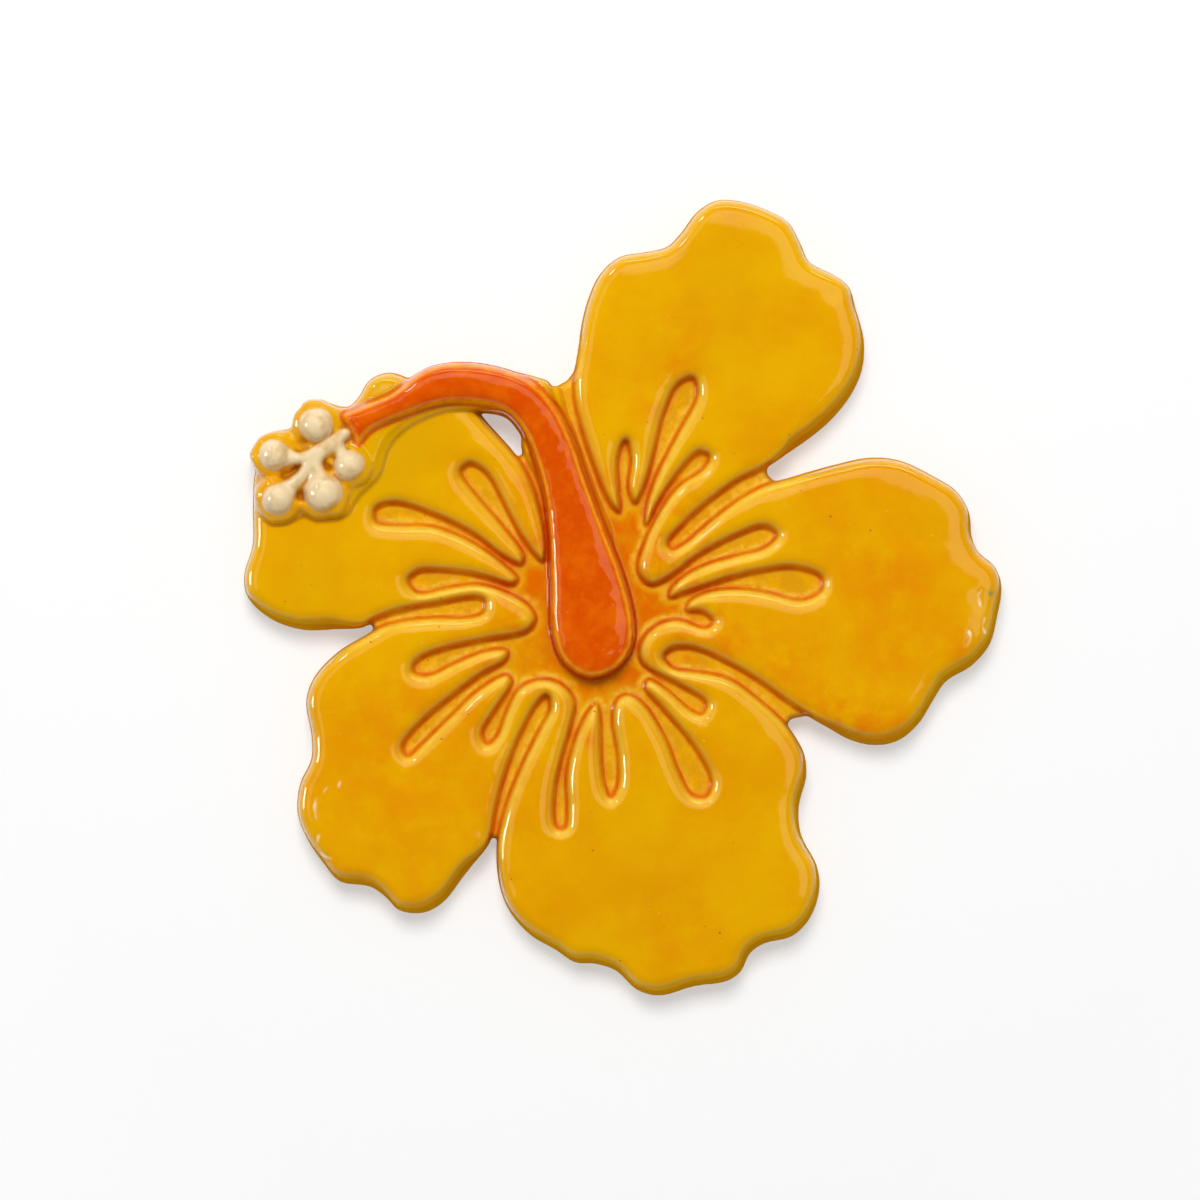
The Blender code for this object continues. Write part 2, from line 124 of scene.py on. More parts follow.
BOTTOM_GROOVES = [
    (-11.1, -16.4), (-9, -19.5), (-9.8, -24.4), (-12, -32.5), (-12.9, -39.4),
    (-12.4, -42.9), (-10.8, -43.1), (-10.3, -40.4), (-10.5, -33.2), (-9.1, -26.9),
    (-6.5, -21.4), (-4.9, -19.8), (-4.2, -22.4), (-4, -29), (-3.4, -35), (-2.2, -37.3),
    (-0.9, -35.2), (-0.9, -29.4), (-1.9, -22.6), (-1, -19), (1, -18.1), (3.6, -19.5),
    (8.1, -26.5), (10.6, -32.9), (13, -36.9), (15.7, -37.1), (16.6, -34), (13.2, -27.6),
    (7.6, -20.8), (4.1, -16.6), (4.9, -15.3), (8.6, -17.4), (12.6, -20.9), (14.9, -21.7),
    (15.6, -19.6), (11.1, -16.6), (6.2, -14)]
RIGHT_GROOVES = [
    (3.5, -11.9), (3.3, -8.6), (6.4, -5.1), (10.4, -4.1), (15.6, -5.6), (16.9, -4.4),
    (14.9, -2.6), (11.9, -2.3), (12.6, -0.5), (16.4, 1.3), (22.4, 1.7), (28, 0.8),
    (33.4, -0.4), (37.1, 1.3), (37.2, 3.9), (32.3, 5.7), (27, 5.3), (19, 3.4),
    (12.4, 1.2), (8.7, 0.1), (9.6, 2.5), (14.3, 5.7), (21.2, 7.9), (26.6, 9.4), (28.9, 11.8),
    (26.8, 13.4), (20.8, 11.5), (13.8, 7.7), (8.5, 3.7)]
TOP_GROOVES = [
    (5, 2.5), (2.9, 5.2), (4, 10.1), (7.1, 16.6), (10.6, 21.1), (14.9, 24),
    (16.2, 26.4), (14.4, 27.3), (10.8, 23.8), (7.1, 18.5), (4.4, 13.6), (4.2, 16),
    (6.2, 22.6), (10.6, 31.2), (14, 38), (13.2, 41.1), (10.4, 40), (7.8, 34.7),
    (6, 27.9), (4.3, 21.4), (2.3, 17.7), (1.1, 20.6), (1.6, 26), (0.6, 29.4),
    (-0.8, 26.6), (-0.8, 21), (-0.6, 16), (-2.2, 17.4), (-5.1, 24), (-7.6, 31.4),
    (-9, 37.4)]
RAISED_CLAY = (
    TOP_PETAL + TOP_RIGHT_SLOT + RIGHT_PETAL + RIGHT_BOTTOM_SLOT + BOTTOM_PETAL
    + BOTTOM_LEFT_SLOT + LOWER_LEFT_PETAL + LEFT_SLOT + LEFT_PETAL + LEFT_GROOVES
    + LOWER_LEFT_GROOVES + BOTTOM_GROOVES + RIGHT_GROOVES + TOP_GROOVES)
print("raised clay outline:", len(RAISED_CLAY), "points")

# %% [markdown]
# Three more outlines sit under or over that one.  The web is the thin slab that joins
# the petals and shows in the middle, in the grooves and in the notches.  The stem bed is
# the strip squeezed out beside the pistil, and the spray bed is the lumpy pad of clay
# that carries the pistil's outer half and the beads.

# %% Outlines of the web and the two beds
WEB = [
    (-12, 40.1), (-10.6, 40.9), (-9.5, 42.3), (-8, 44.5), (2, 45), (14, 45),
    (22, 36), (28, 26.4), (27.2, 23.7), (28.4, 22.2), (32, 20.6), (42, 12),
    (43, -2), (40, -14), (36.6, -21.6), (33.9, -22.4), (31.6, -23), (30.6, -25.2),
    (27, -34), (18, -43), (2, -46), (-12, -49), (-21.8, -47.4),
    (-24, -45.2), (-26.4, -45.6), (-34, -42), (-47, -34), (-50, -20),
    (-49, -9.4), (-47, -6.2), (-47.2, -5.2), (-50, -3), (-54, 6), (-52, 18),
    (-44, 25), (-34, 29), (-26, 28), (-21.4, 26.6), (-19, 27), (-15.4, 30),
    (-13.4, 36)]
STEM_BED = [
    (-12.1, 40), (-10.2, 34.6), (-8.2, 29.6), (-4.4, 19), (-1.6, 10.4), (-6, 2),
    (-12, 6), (-14.4, 16.5), (-16.6, 22.6), (-19, 27.4), (-19, 31), (-17, 37)]
SPRAY_BED = [
    (-13.6, 40.5), (-12.6, 36), (-14, 31), (-18.4, 29.2), (-19.5, 31),
    (-22, 33.8), (-26.6, 34.7), (-33, 34.4), (-40, 31.2), (-43.1, 27.9), (-45, 22.6),
    (-49.1, 18.4), (-51.5, 14.9), (-55.4, 14.8), (-58, 15.4), (-62.4, 13.8), (-66.1, 15.3),
    (-68, 20.8), (-67.8, 27.2), (-65, 31.1), (-61.7, 32.4), (-60.4, 35.4), (-57, 36.8),
    (-51.5, 36), (-44, 39), (-37, 43.2), (-30, 44.3), (-23, 43.2), (-16.5, 41.7)]
print("web:", len(WEB), "stem bed:", len(STEM_BED), "spray bed:", len(SPRAY_BED), "points")

# %% [markdown]
# The pistil, the threads and the beads are rolls and balls of clay.  A roll needs only a
# line of stations, each with a half width; a ball needs a place and a radius.

# %% Rolls and balls of clay
PISTIL = [
    (-5.2, -14.9, 0.5), (-5.2, -13.9, 3.6), (-5.2, -12, 6), (-5.3, -7, 7.7),
    (-5.9, 1, 7.2), (-7.9, 11, 5.5), (-10.4, 21, 4.3), (-13.6, 30, 4.2),
    (-18, 36.6, 4.3), (-26, 39.9, 4.1), (-34, 39.6, 3.9), (-41, 36.5, 3.4),
    (-47, 33.4, 3), (-51, 31.2, 3), (-52.3, 30.6, 1.2)]
THREADS = [
    [(-51.8, 30.6, 1), (-54, 28.9, 1.3), (-57.4, 26.7, 1.5), (-60.4, 26, 1.1),
     (-63, 26.3, 1.8)],
    [(-57.9, 26.9, 1.1), (-59.2, 23.8, 1.1), (-61.4, 21.3, 1.3), (-63.4, 19.3, 2.2)],
    [(-55.9, 27.4, 0.9), (-57.3, 25.2, 1.3), (-57, 22.8, 1.7), (-56.3, 20.6, 2.6)],
    [(-53.2, 29.2, 1.1), (-52.4, 26.8, 1.2), (-51.4, 25.2, 1.9)]]
BEADS = [
    (-57.2, 32.3, 3.2), (-65, 26.7, 2.8), (-64.3, 18.5, 2.9), (-55.9, 19.6, 3.5),
    (-51, 24.7, 2.8)]
print("pistil stations:", len(PISTIL), "threads:", len(THREADS), "beads:", len(BEADS))

# %% [markdown]
# A few points become a smooth line in the way a bent steel strip passes through pins:
# each span is a cubic that leaves and arrives along the chord of its neighbours.  Using
# the square root of the spacing as time keeps tight finger tips free of loops.

# %% Pass a smooth line through a few points
def smooth_line(points, steps, closed):
    spots = np.array(points, float)
    if closed:
        spots = np.vstack([spots[-1], spots, spots[:2]])
    else:
        spots = np.vstack([2 * spots[0] - spots[1], spots, 2 * spots[-1] - spots[-2]])
    gaps = np.sqrt(np.linalg.norm(np.diff(spots[:, :2], axis=0), axis=1)) + 1e-6
    line = []
    for k in range(1, len(spots) - 2):
        a, b, c, d = spots[k - 1:k + 3]
        before, here, after = gaps[k - 1:k + 2]
        leave = (b - a) / before - (c - a) / (before + here) + (c - b) / here
        arrive = (c - b) / here - (d - b) / (here + after) + (d - c) / after
        t = (np.arange(steps) / steps)[:, None]
        line.append((2 * t**3 - 3 * t**2 + 1) * b + (t**3 - 2 * t**2 + t) * leave * here
                    + (3 * t**2 - 2 * t**3) * c + (t**3 - t**2) * arrive * here)
    if not closed:
        line.append(spots[-2][None, :])
    return np.vstack(line)


CHORDS = 4
print("raised clay line:", len(smooth_line(RAISED_CLAY, CHORDS, True)), "chords")

# %% [markdown]
# Everything that follows happens on a fine sheet of graph paper laid over the flower.
# Each spot holds one number, such as a distance or a height.

# %% Lay out the graph paper
PAPER_STEP = 0.25
PAPER_X = np.arange(-74.4, 74.5, PAPER_STEP)
PAPER_Y = np.arange(-78.0, 78.1, PAPER_STEP)
SPOT_X, SPOT_Y = np.meshgrid(PAPER_X, PAPER_Y, indexing="ij")
print("graph paper:", SPOT_X.shape, "spots,", PAPER_STEP, "mm apart")

# %% [markdown]
# How far is each spot to an outline, and is it inside?  Inside is found by counting how
# often a line to the right crosses the outline.  Far distances are never needed.

# %% Distance of every spot to an outline
FURTHEST = 9.0


def distance_inside(points):
    """Distance to a closed outline, positive on the clay side."""
    line = smooth_line(points, CHORDS, True)
    nearest = np.full(SPOT_X.shape, 1e9)
    inside = np.zeros(SPOT_X.shape, bool)
    for (ax, ay), (bx, by) in zip(line, np.roll(line, -1, axis=0)):
        crossed = (ay > SPOT_Y[0]) != (by > SPOT_Y[0])
        if crossed.any():
            reach = ax + (SPOT_Y[0][crossed] - ay) * (bx - ax) / (by - ay)
            inside[:, crossed] ^= SPOT_X[:, crossed] < reach[None, :]
    for (ax, ay), (bx, by) in zip(line, np.roll(line, -1, axis=0)):
        i0, i1 = np.searchsorted(PAPER_X, (min(ax, bx) - FURTHEST, max(ax, bx) + FURTHEST))
        j0, j1 = np.searchsorted(PAPER_Y, (min(ay, by) - FURTHEST, max(ay, by) + FURTHEST))
        x, y = SPOT_X[i0:i1, j0:j1], SPOT_Y[i0:i1, j0:j1]
        ux, uy = bx - ax, by - ay
        t = np.clip(((x - ax) * ux + (y - ay) * uy) / (ux * ux + uy * uy + 1e-12), 0, 1)
        gap = (x - ax - t * ux)**2 + (y - ay - t * uy)**2
        nearest[i0:i1, j0:j1] = np.minimum(nearest[i0:i1, j0:j1], gap)
    nearest = np.minimum(np.sqrt(nearest), FURTHEST)
    return np.where(inside, nearest, -nearest)


RAISED = distance_inside(RAISED_CLAY)
IN_WEB = distance_inside(WEB)
IN_STEM_BED = distance_inside(STEM_BED)
IN_SPRAY_BED = distance_inside(SPRAY_BED)
print("clay covers", round(float((RAISED > 0).sum()) * PAPER_STEP**2 / 100, 1), "square cm")

# %% [markdown]
# Clay edges are never sharp.  A petal edge goes up a steep wall and rolls over a wide
# shoulder.  Each layer is a slab with its own wall, shoulder and top, and layers are
# joined with a soft maximum, which leaves the small web of glaze a kiln leaves.

# %% Helpers for rounded slabs
def soften(value, low, high):
    """Go from 0 to 1 between two limits, with a gentle start and end."""
    t = np.clip((value - low) / (high - low), 0.0, 1.0)
    return t * t * (3.0 - 2.0 * t)


def rolled(v, power=2.0):
    """A rounded shoulder from 0 to 1; a higher power gives a fuller one."""
    v = np.clip(v, 0.0, 1.0)
    return (1.0 - (1.0 - v)**power)**(1.0 / power)


def slab(depth, top, wall, shoulder, drop):
    """Height of a slab: a steep wall, then a shoulder that rises by the drop."""
    steep = (top - drop) * np.clip(depth / wall, -3.0, 1.0)
    return steep + drop * rolled((depth - wall) / shoulder)


def soft_max(a, b, blend):
    """The higher of two heights, with a fillet where they meet."""
    t = np.clip(0.5 + 0.5 * (a - b) / blend, 0.0, 1.0)
    return b + (a - b) * t + blend * t * (1.0 - t)


print("half way over a shoulder:", round(float(rolled(0.5)), 2))

# %% [markdown]
# Nothing made by hand is quite even.  A blur rounds what is too crisp, and sine waves
# laid across each other give the swell that thumbs leave.  Each call has its own seed.

# %% Helpers for hand-smoothed clay
def blurred(sheet, width):
    """Gaussian blur; the width is in millimetres."""
    sigma = width / PAPER_STEP
    reach = int(math.ceil(3 * sigma))
    taps = np.exp(-0.5 * (np.arange(-reach, reach + 1) / sigma)**2)
    taps /= taps.sum()
    for axis in (0, 1):
        padded = np.pad(sheet, [(reach, reach) if a == axis else (0, 0) for a in (0, 1)],
                        mode="edge")
        size = sheet.shape[axis]
        sheet = sum(tap * np.take(padded, np.arange(k, k + size), axis=axis)
                    for k, tap in enumerate(taps))
    return sheet


def hand_waves(seed, count, shortest, longest):
    """A gently uneven surface about one unit high; lengths are in millimetres."""
    dice = np.random.default_rng(seed)
    waves = np.zeros(SPOT_X.shape)
    for _ in range(count):
        length = dice.uniform(shortest, longest)
        turn, phase = dice.uniform(0, 2 * math.pi, 2)
        waves += np.sin((SPOT_X * math.cos(turn) + SPOT_Y * math.sin(turn))
                        * 2 * math.pi / length + phase)
    return waves / math.sqrt(count)


def thumb_mark(x, y, wide):
    """A round mark one unit deep that fades out over its width."""
    return np.exp(-((SPOT_X - x)**2 + (SPOT_Y - y)**2) / wide**2)


print("helpers for hand work: blurred, hand_waves, thumb_mark")

# %% [markdown]
# The slab was cut with a slanting knife, so free edges lean out most where they face the
# lower right, while groove walls over the web stay nearly upright.  The slope of the
# distance sheet points straight in from the edge, so it tells which way an edge faces.

# %% Which way each edge faces
EDGE_BLUR = 0.8
slope_x, slope_y = np.gradient(blurred(RAISED, EDGE_BLUR), PAPER_STEP)
steepness = np.hypot(slope_x, slope_y) + 1e-6


def faces(right, up, bias=0.0):
    """How much each edge looks towards one side of the table, from 0 to 1."""
    return np.clip(bias - (right * slope_x + up * slope_y) / steepness, 0.0, 1.0)


FACES_DOWN = faces(0.38, -0.92)
FACES_UP_RIGHT = faces(0.85, 0.5)
FACES_UP = faces(-0.45, 0.9, bias=0.2)
FREE_EDGE = 1.0 - soften(blurred(IN_WEB, EDGE_BLUR), -5.5, 0.3)
KNIFE_SLANT = 0.25 + FREE_EDGE * (0.25 + 1.3 * FACES_DOWN)
TO_RIM = np.maximum(RAISED, IN_WEB)
print("walls lean out by", round(float(KNIFE_SLANT.min()), 2), "to",
      round(float(KNIFE_SLANT.max()), 2), "mm")

# %% [markdown]
# A petal crown looks flat but falls away slightly towards the rim, which is what makes
# the wide soft reflections near the edges.  It also carries a few thumb dents and some
# fine scratches that catch the light.

# %% Crowns of the petals, with dents and scratches
PETAL_TOP, WEB_TOP = 9.0, 6.0
RIM_FALL, EXTRA_UP_RIGHT, RIM_FALL_WIDE = 0.57, 0.28, 3.2
EDGE_FALL, EDGE_FALL_WIDE = 0.14, 2.0
CROWN = (PETAL_TOP
         - (RIM_FALL + EXTRA_UP_RIGHT * FACES_UP_RIGHT)
         * np.exp(-np.maximum(TO_RIM, 0) / RIM_FALL_WIDE)
         - EDGE_FALL * np.exp(-np.maximum(RAISED, 0) / EDGE_FALL_WIDE)
         + 0.03 * hand_waves(3, 14, 8.0, 24.0))
THUMB_DENTS = [
    (-61.5, 9.0, 2.2, 0.12), (39.5, 57.0, 1.3, 0.25), (35.2, 66.0, 1.1, 0.2),
    (27.2, -58.5, 2.0, 0.15), (-20.5, -53.0, 1.6, 0.15), (66.3, 0.2, 1.6, 0.1)]
for x, y, wide, deep in THUMB_DENTS:
    CROWN -= deep * thumb_mark(x, y, wide)
SCRATCHES = [
    [(-52.8, -34.3), (-53.2, -35.3), (-52.5, -36.4)],
    [(-54.2, -34.6), (-55.9, -36.4), (-57.3, -37.6), (-57.5, -39.9), (-57.0, -41.9)],
    [(-56.8, -44.0), (-57.0, -46.5), (-55.9, -48.2), (-54.5, -48.7)],
    [(67.7, -3.6), (67.3, -5.3), (67.8, -6.7)], [(64.7, -6.3), (65.0, -7.6), (64.3, -8.8)],
    [(67.0, 1.6), (66.4, 0.4), (66.9, -1.4)]]
SCRATCH_WIDE, SCRATCH_DEEP = 0.36, 0.12
scratches_and_highlight = np.zeros(SPOT_X.shape)
for run in SCRATCHES:
    for x, y in smooth_line(run, 10, False):
        scratches_and_highlight = np.maximum(scratches_and_highlight, thumb_mark(x, y, SCRATCH_WIDE))
CROWN -= SCRATCH_DEEP * scratches_and_highlight
print("petal crowns:", round(float(CROWN[RAISED > 4].mean()), 2), "mm above the table")

# %% [markdown]
# Now lay the clay down: petals, web, the bed beside the pistil, and the two steps of the
# pad under the beads.  The finest ripple goes only on the rims, to break the highlights.

# %% Petals, web and beds
FULL_SHOULDER = 2.8
shoulder_wide = 3.6 - 0.5 * FREE_EDGE
foot_shift = 0.22 * (1 - FREE_EDGE)
smooth_inside = RAISED + (blurred(RAISED, 0.55) - RAISED) * soften(RAISED, 0.7, 1.5)
petal_height = (WEB_TOP * np.clip((RAISED + foot_shift) / KNIFE_SLANT, -3, 1)
                + (CROWN - WEB_TOP)
                * rolled((smooth_inside + foot_shift - KNIFE_SLANT) / shoulder_wide,
                         FULL_SHOULDER))
web_height = (slab(IN_WEB, top=WEB_TOP, wall=0.4, shoulder=1.3, drop=1.1)
              + 0.03 * hand_waves(8, 18, 3.5, 9.0))
stem_bed_height = slab(IN_STEM_BED, top=7.8, wall=0.3, shoulder=1.5, drop=1.7)
spray_low = slab(IN_SPRAY_BED, top=10.0, wall=0.45, shoulder=1.1, drop=1.0)
spray_high = (slab(IN_SPRAY_BED - 1.3, top=10.7, wall=0.3, shoulder=1.3, drop=0.9)
              + 0.06 * hand_waves(5, 12, 3, 7))
HEIGHT = soft_max(petal_height, web_height, blend=0.25)
HEIGHT = soft_max(HEIGHT, stem_bed_height, blend=0.5)
HEIGHT = soft_max(HEIGHT, soft_max(spray_low, spray_high, blend=0.3), blend=0.35)
HEIGHT += (0.035 * hand_waves(31, 18, 1.8, 4.5)
           * np.exp(-np.maximum(RAISED, 0) / 1.6) * soften(HEIGHT, 7.4, 8.2))
print("web:", WEB_TOP, "mm, spray bed:", round(float(spray_high.max()), 1), "mm")

# %% [markdown]
# The pistil is a fat roll that thins to a neck.  Its own outline gives the plan, and the
# nearest stations give its half width and how far along the roll each spot is.

# %% Plan of the pistil
PISTIL_EDGE = [
    (-52.6, 34.2), (-50.8, 30.4), (-49.4, 28.2), (-46.8, 30.8), (-41, 33.4),
    (-35, 35.5), (-29.5, 36), (-24, 35.2), (-20.9, 33.6), (-18.4, 30.2),
    (-16.3, 25), (-14.8, 19.4), (-13.9, 11), (-13.6, 2), (-13.3, -6.5),
    (-11.2, -12), (-6.5, -15), (-1.6, -13.7), (1.6, -9.8), (2.2, -4.6), (0.3, 3.6),
    (-3, 12.4), (-6.4, 21.4), (-9.4, 30.2), (-12.8, 36.6), (-17, 40.8),
    (-22.6, 43.1), (-30, 44.2), (-37, 43), (-43, 38.6), (-48.6, 36.2)]
IN_PISTIL = distance_inside(PISTIL_EDGE)
STATION_BLEND = 18.0
END_STATIONS = 8
stations = smooth_line(PISTIL, 6, False)
share, half_width, along, beside = (np.zeros(SPOT_X.shape) for _ in range(4))
for k, (x, y, half) in enumerate(stations[END_STATIONS:-END_STATIONS]):
    weight = np.exp(-((SPOT_X - x)**2 + (SPOT_Y - y)**2) / STATION_BLEND) + 1e-30
    share += weight
    half_width += weight * half
    along += weight * k / (len(stations) - 2 * END_STATIONS - 1)
    beside += weight * ((SPOT_X - x) * 0.86 + (SPOT_Y - y) * 0.5)
half_width /= share
ALONG = along / share
print("pistil:", round(float((IN_PISTIL > 0).sum()) * PAPER_STEP**2 / 100, 1), "square cm")

# %% [markdown]
# The section of the pistil is a squashed arch, flatter than a circle because it was
# pressed down, flattest at the thick end, and its top leans a little.

# %% Height of the pistil
pistil_crest = 11.2 + 1.9 * soften(ALONG, 0.3, 0.72) - 0.8 * soften(ALONG, 0.86, 1.0)
arch_flatness = 4.8 - 1.6 * soften(ALONG, 0.3, 0.7)
ARCH_REACH, LEAN = 0.97, 0.02
pistil_height = np.where(
    IN_PISTIL > 0,
    WEB_TOP + (pistil_crest - WEB_TOP)
    * rolled(IN_PISTIL / (ARCH_REACH * half_width), arch_flatness)
    - LEAN * beside / share * soften(IN_PISTIL, 0.0, 1.5)
    + 0.03 * hand_waves(11, 10, 7.0, 16.0)
    * soften(IN_PISTIL, 0.5, 2.0)
    + 0.03 * hand_waves(12, 14, 1.8, 4.0)
    * soften(IN_PISTIL, 0.2, 0.8),
    WEB_TOP + 20.0 * IN_PISTIL)
HEIGHT = soft_max(HEIGHT, pistil_height, blend=0.4)
print("pistil crest:", round(float(pistil_height.max()), 2), "mm")

# %% [markdown]
# Each bead was pushed into a soft cup of clay, so a raised collar wraps it.  The hollows
# between collars are deep enough to hold dark glaze.

# %% Collars and hollows
COLLAR_FOOT, COLLAR_TOP, COLLAR_WIDE = 9.2, 11.5, 1.7
NOWHERE = -9.0
CUP_WAVES = hand_waves(21, 12, 3.5, 8.0)
for x, y, radius in BEADS:
    reach = np.hypot(SPOT_X - x, SPOT_Y - y)
    crest = COLLAR_TOP + 0.25 * CUP_WAVES
    fall = (reach - radius - 0.1) / (COLLAR_WIDE + 0.25 * CUP_WAVES)
    collar = COLLAR_FOOT + (crest - COLLAR_FOOT) * np.sqrt(
        np.clip(1 - np.clip(fall, 0, 1)**2, 0, 1))
    HEIGHT = soft_max(HEIGHT, np.where(fall < 1, collar, NOWHERE), blend=0.5)
HOLLOWS = [
    (-60.9, 23.9, 1.3, 1.3), (-62.9, 23.1, 1.1, 1.1), (-60.1, 19.0, 1.0, 1.5),
    (-59.7, 29.2, 1.2, 1.0), (-54.9, 24.4, 0.8, 1.2), (-53.9, 26.0, 0.6, 0.8)]
for x, y, wide, deep in HOLLOWS:
    HEIGHT -= deep * thumb_mark(x, y, wide)
print("collars:", len(BEADS), "hollows:", len(HOLLOWS))

# %% [markdown]
# The beads are balls sunk to their middles, and the threads are thin rolls from the
# pistil tip to the beads.  Both get their own ivory slip, so they are marked here.

# %% Beads and threads
BEAD_CENTRE, TALLEST_BEAD = 11.1, 3.1
THREAD_TOP, THREAD_THICK = 12.3, 1.3
IVORY = np.zeros(SPOT_X.shape)
for x, y, radius in BEADS:
    reach = np.hypot(SPOT_X - x, SPOT_Y - y)
    ball = (BEAD_CENTRE
            + min(radius, TALLEST_BEAD) * np.sqrt(np.clip(1 - (reach / radius)**2, 0, 1))
            + 0.1 * np.minimum(CUP_WAVES, 0.5))
    HEIGHT = soft_max(HEIGHT, np.where(reach < radius, ball, NOWHERE), blend=0.25)
    IVORY = np.maximum(IVORY, 1 - soften(reach / radius + 0.08 * CUP_WAVES, 0.92, 1.06))
for run in THREADS:
    for x, y, radius in smooth_line(run, 14, False):
        reach = np.hypot(SPOT_X - x, SPOT_Y - y)
        roll = (THREAD_TOP - THREAD_THICK
                + THREAD_THICK * np.sqrt(np.clip(1 - (reach / radius)**2, 0, 1)))
        HEIGHT = np.maximum(HEIGHT, np.where(reach < radius, roll, NOWHERE))
        IVORY = np.maximum(IVORY, 1 - soften(reach / radius, 0.75, 1.1))
print("bead tops:", round(float(HEIGHT.max()), 2), "mm")

# %% [markdown]
# Molten glaze runs off edges and gathers in hollows.  A small blur does the rounding.
# Comparing the surface with a wider blur of itself tells where glaze lies thick, in the
# feet of the walls, and where it breaks thin, along the edges.

# %% Let the glaze settle
SKIN = blurred(HEIGHT, 0.22)
ON_CLAY = np.maximum(TO_RIM, IN_SPRAY_BED)
no_table = np.maximum(SKIN, -1.0)
hollow = blurred(no_table, 0.6) - no_table
# Dark glaze at the foot of the walls, widened up walls that face the lower right as painted
# shade.
foot_pool_and_shade = (np.exp(-((RAISED + 0.18) / (0.34 + 0.1 * FACES_DOWN))**2)
             + 0.6 * FACES_DOWN * np.exp(-((RAISED - 0.35) / 0.4)**2)
             ) * soften(IN_WEB, -0.4, 0.4)
POOLED_AND_SHADE = np.clip(foot_pool_and_shade * (1 - soften(SKIN, 8.3, 8.9))
                 + soften(hollow, 0.09, 0.4) * (0.45 + 0.55 * soften(SKIN, 9.2, 9.8))
                 * soften(ON_CLAY, -0.2, 0.6), 0, 1)
CREASE = np.exp(-((IN_PISTIL + 0.25) / 0.36)**2) * soften(IN_WEB, 0, 1)
THIN = soften(-hollow, 0.06, 0.34)
print("pooled glaze on", round(float((POOLED_AND_SHADE > 0.5).mean() * 100), 1), "% of the paper")

# %% [markdown]
# Glaze breaks pale on rims, with a painted highlight on rims that face the top, and olive
# down a leaning wall, with painted shade where it faces the lower right.  A painted highlight
# follows the foot of each groove wall.  The pistil and the pad are glazed another way.

# %% Where rims break pale or olive, with painted highlight and shade
off_the_roll = 1 - soften(IN_PISTIL, -1.2, -0.4)
off_the_pad = 1 - soften(IN_SPRAY_BED, -1.0, 0.0)
# Pale rims: thin glaze plus a painted highlight on rims that face the top.
PALE_RIM_AND_HIGHLIGHT = (soften(RAISED, 0.1, 0.5) * (1 - 0.55 * soften(RAISED, 0.6, 1.7))
            * (1 - soften(RAISED, 1.5, 2.0)) * FACES_UP * (1 - 0.65 * FREE_EDGE)
            * off_the_roll * off_the_pad)
# Painted highlight: a pale line at the foot of groove walls that face the top.
FOOT_HIGHLIGHT = (np.exp(-((RAISED + 0.85) / 0.24)**2) * (0.25 + 0.75 * FACES_UP)
             * soften(IN_WEB, 0.2, 1.0) * (1 - soften(SKIN, 6.6, 7.6)))
SIDE_WALL = ((1 - soften(ON_CLAY - KNIFE_SLANT, -0.1,
                         0.35 + 2.0 * np.maximum(FACES_DOWN, 0.7 * (1 - FREE_EDGE))))
             * (1 - soften(SKIN, 8.9, 9.6)))
# Olive edges: thin glaze plus painted shade, mostly on walls that face the lower right.
OLIVE_AND_SHADE = (np.exp(-((RAISED - KNIFE_SLANT - 0.55) / 0.28)**2) * (0.08 + 0.92 * FACES_DOWN)
         * off_the_roll * off_the_pad)
print("pale rims on", round(float((PALE_RIM_AND_HIGHLIGHT > 0.3).mean() * 100), 1), "% of the paper")

# %% [markdown]
# The rest of the colour follows the plan: the sunken floor, its open middle away from
# the walls, the orange roll and its lighter edge, and the warm zone round the heart.

# %% Where the floor, the roll and the heart are
SUNKEN = ((1.0 - soften(RAISED, -0.5, 0.1)) * soften(IN_WEB, -0.6, 0.6)
          * (1.0 - soften(SKIN, 6.6, 7.6)))
AWAY_FROM_WALLS = soften(-RAISED, 0.7, 2.4) * soften(-IN_PISTIL, 0.3, 1.6)
ROLL_EDGE = np.exp(-((IN_PISTIL - 0.8) / 0.42)**2)
ORANGE_ROLL = soften(IN_PISTIL, -0.4, -0.1) * (1.0 - IVORY)
HEART_X, HEART_Y = -3.0, 1.0
NEAR_HEART = 1.0 - soften(np.hypot(SPOT_X - HEART_X, SPOT_Y - HEART_Y), 12.0, 32.0)
print("sunken floor on", round(float((SUNKEN > 0.5).mean() * 100), 1), "% of the paper")

# %% [markdown]
# The height sheet becomes a solid by asking, for each point of a box of small cells, how
# far it is above the skin or below the flat back.  The surface where the answer is zero
# is the piece.  OpenVDB, which ships with Blender, draws that surface with no holes.

# %% Turn the heights into a closed skin
CELL = 0.3
BACK_BEVEL = 0.8
FIELD_REACH = 1.2
grid_x = np.arange(-73.2, 73.3, CELL)
grid_y = np.arange(-76.8, 76.9, CELL)
grid_z = np.arange(-1.2, 16.0, CELL)


def read_sheet(sheet, x, y):
    """Value of a paper sheet at any place, blended from the four nearest spots."""
    i = np.clip((x - PAPER_X[0]) / PAPER_STEP, 0, len(PAPER_X) - 1.001)
    j = np.clip((y - PAPER_Y[0]) / PAPER_STEP, 0, len(PAPER_Y) - 1.001)
    i0, j0 = i.astype(int), j.astype(int)
    fi, fj = i - i0, j - j0
    return ((sheet[i0, j0] * (1 - fi) + sheet[i0 + 1, j0] * fi) * (1 - fj)
            + (sheet[i0, j0 + 1] * (1 - fi) + sheet[i0 + 1, j0 + 1] * fi) * fj)


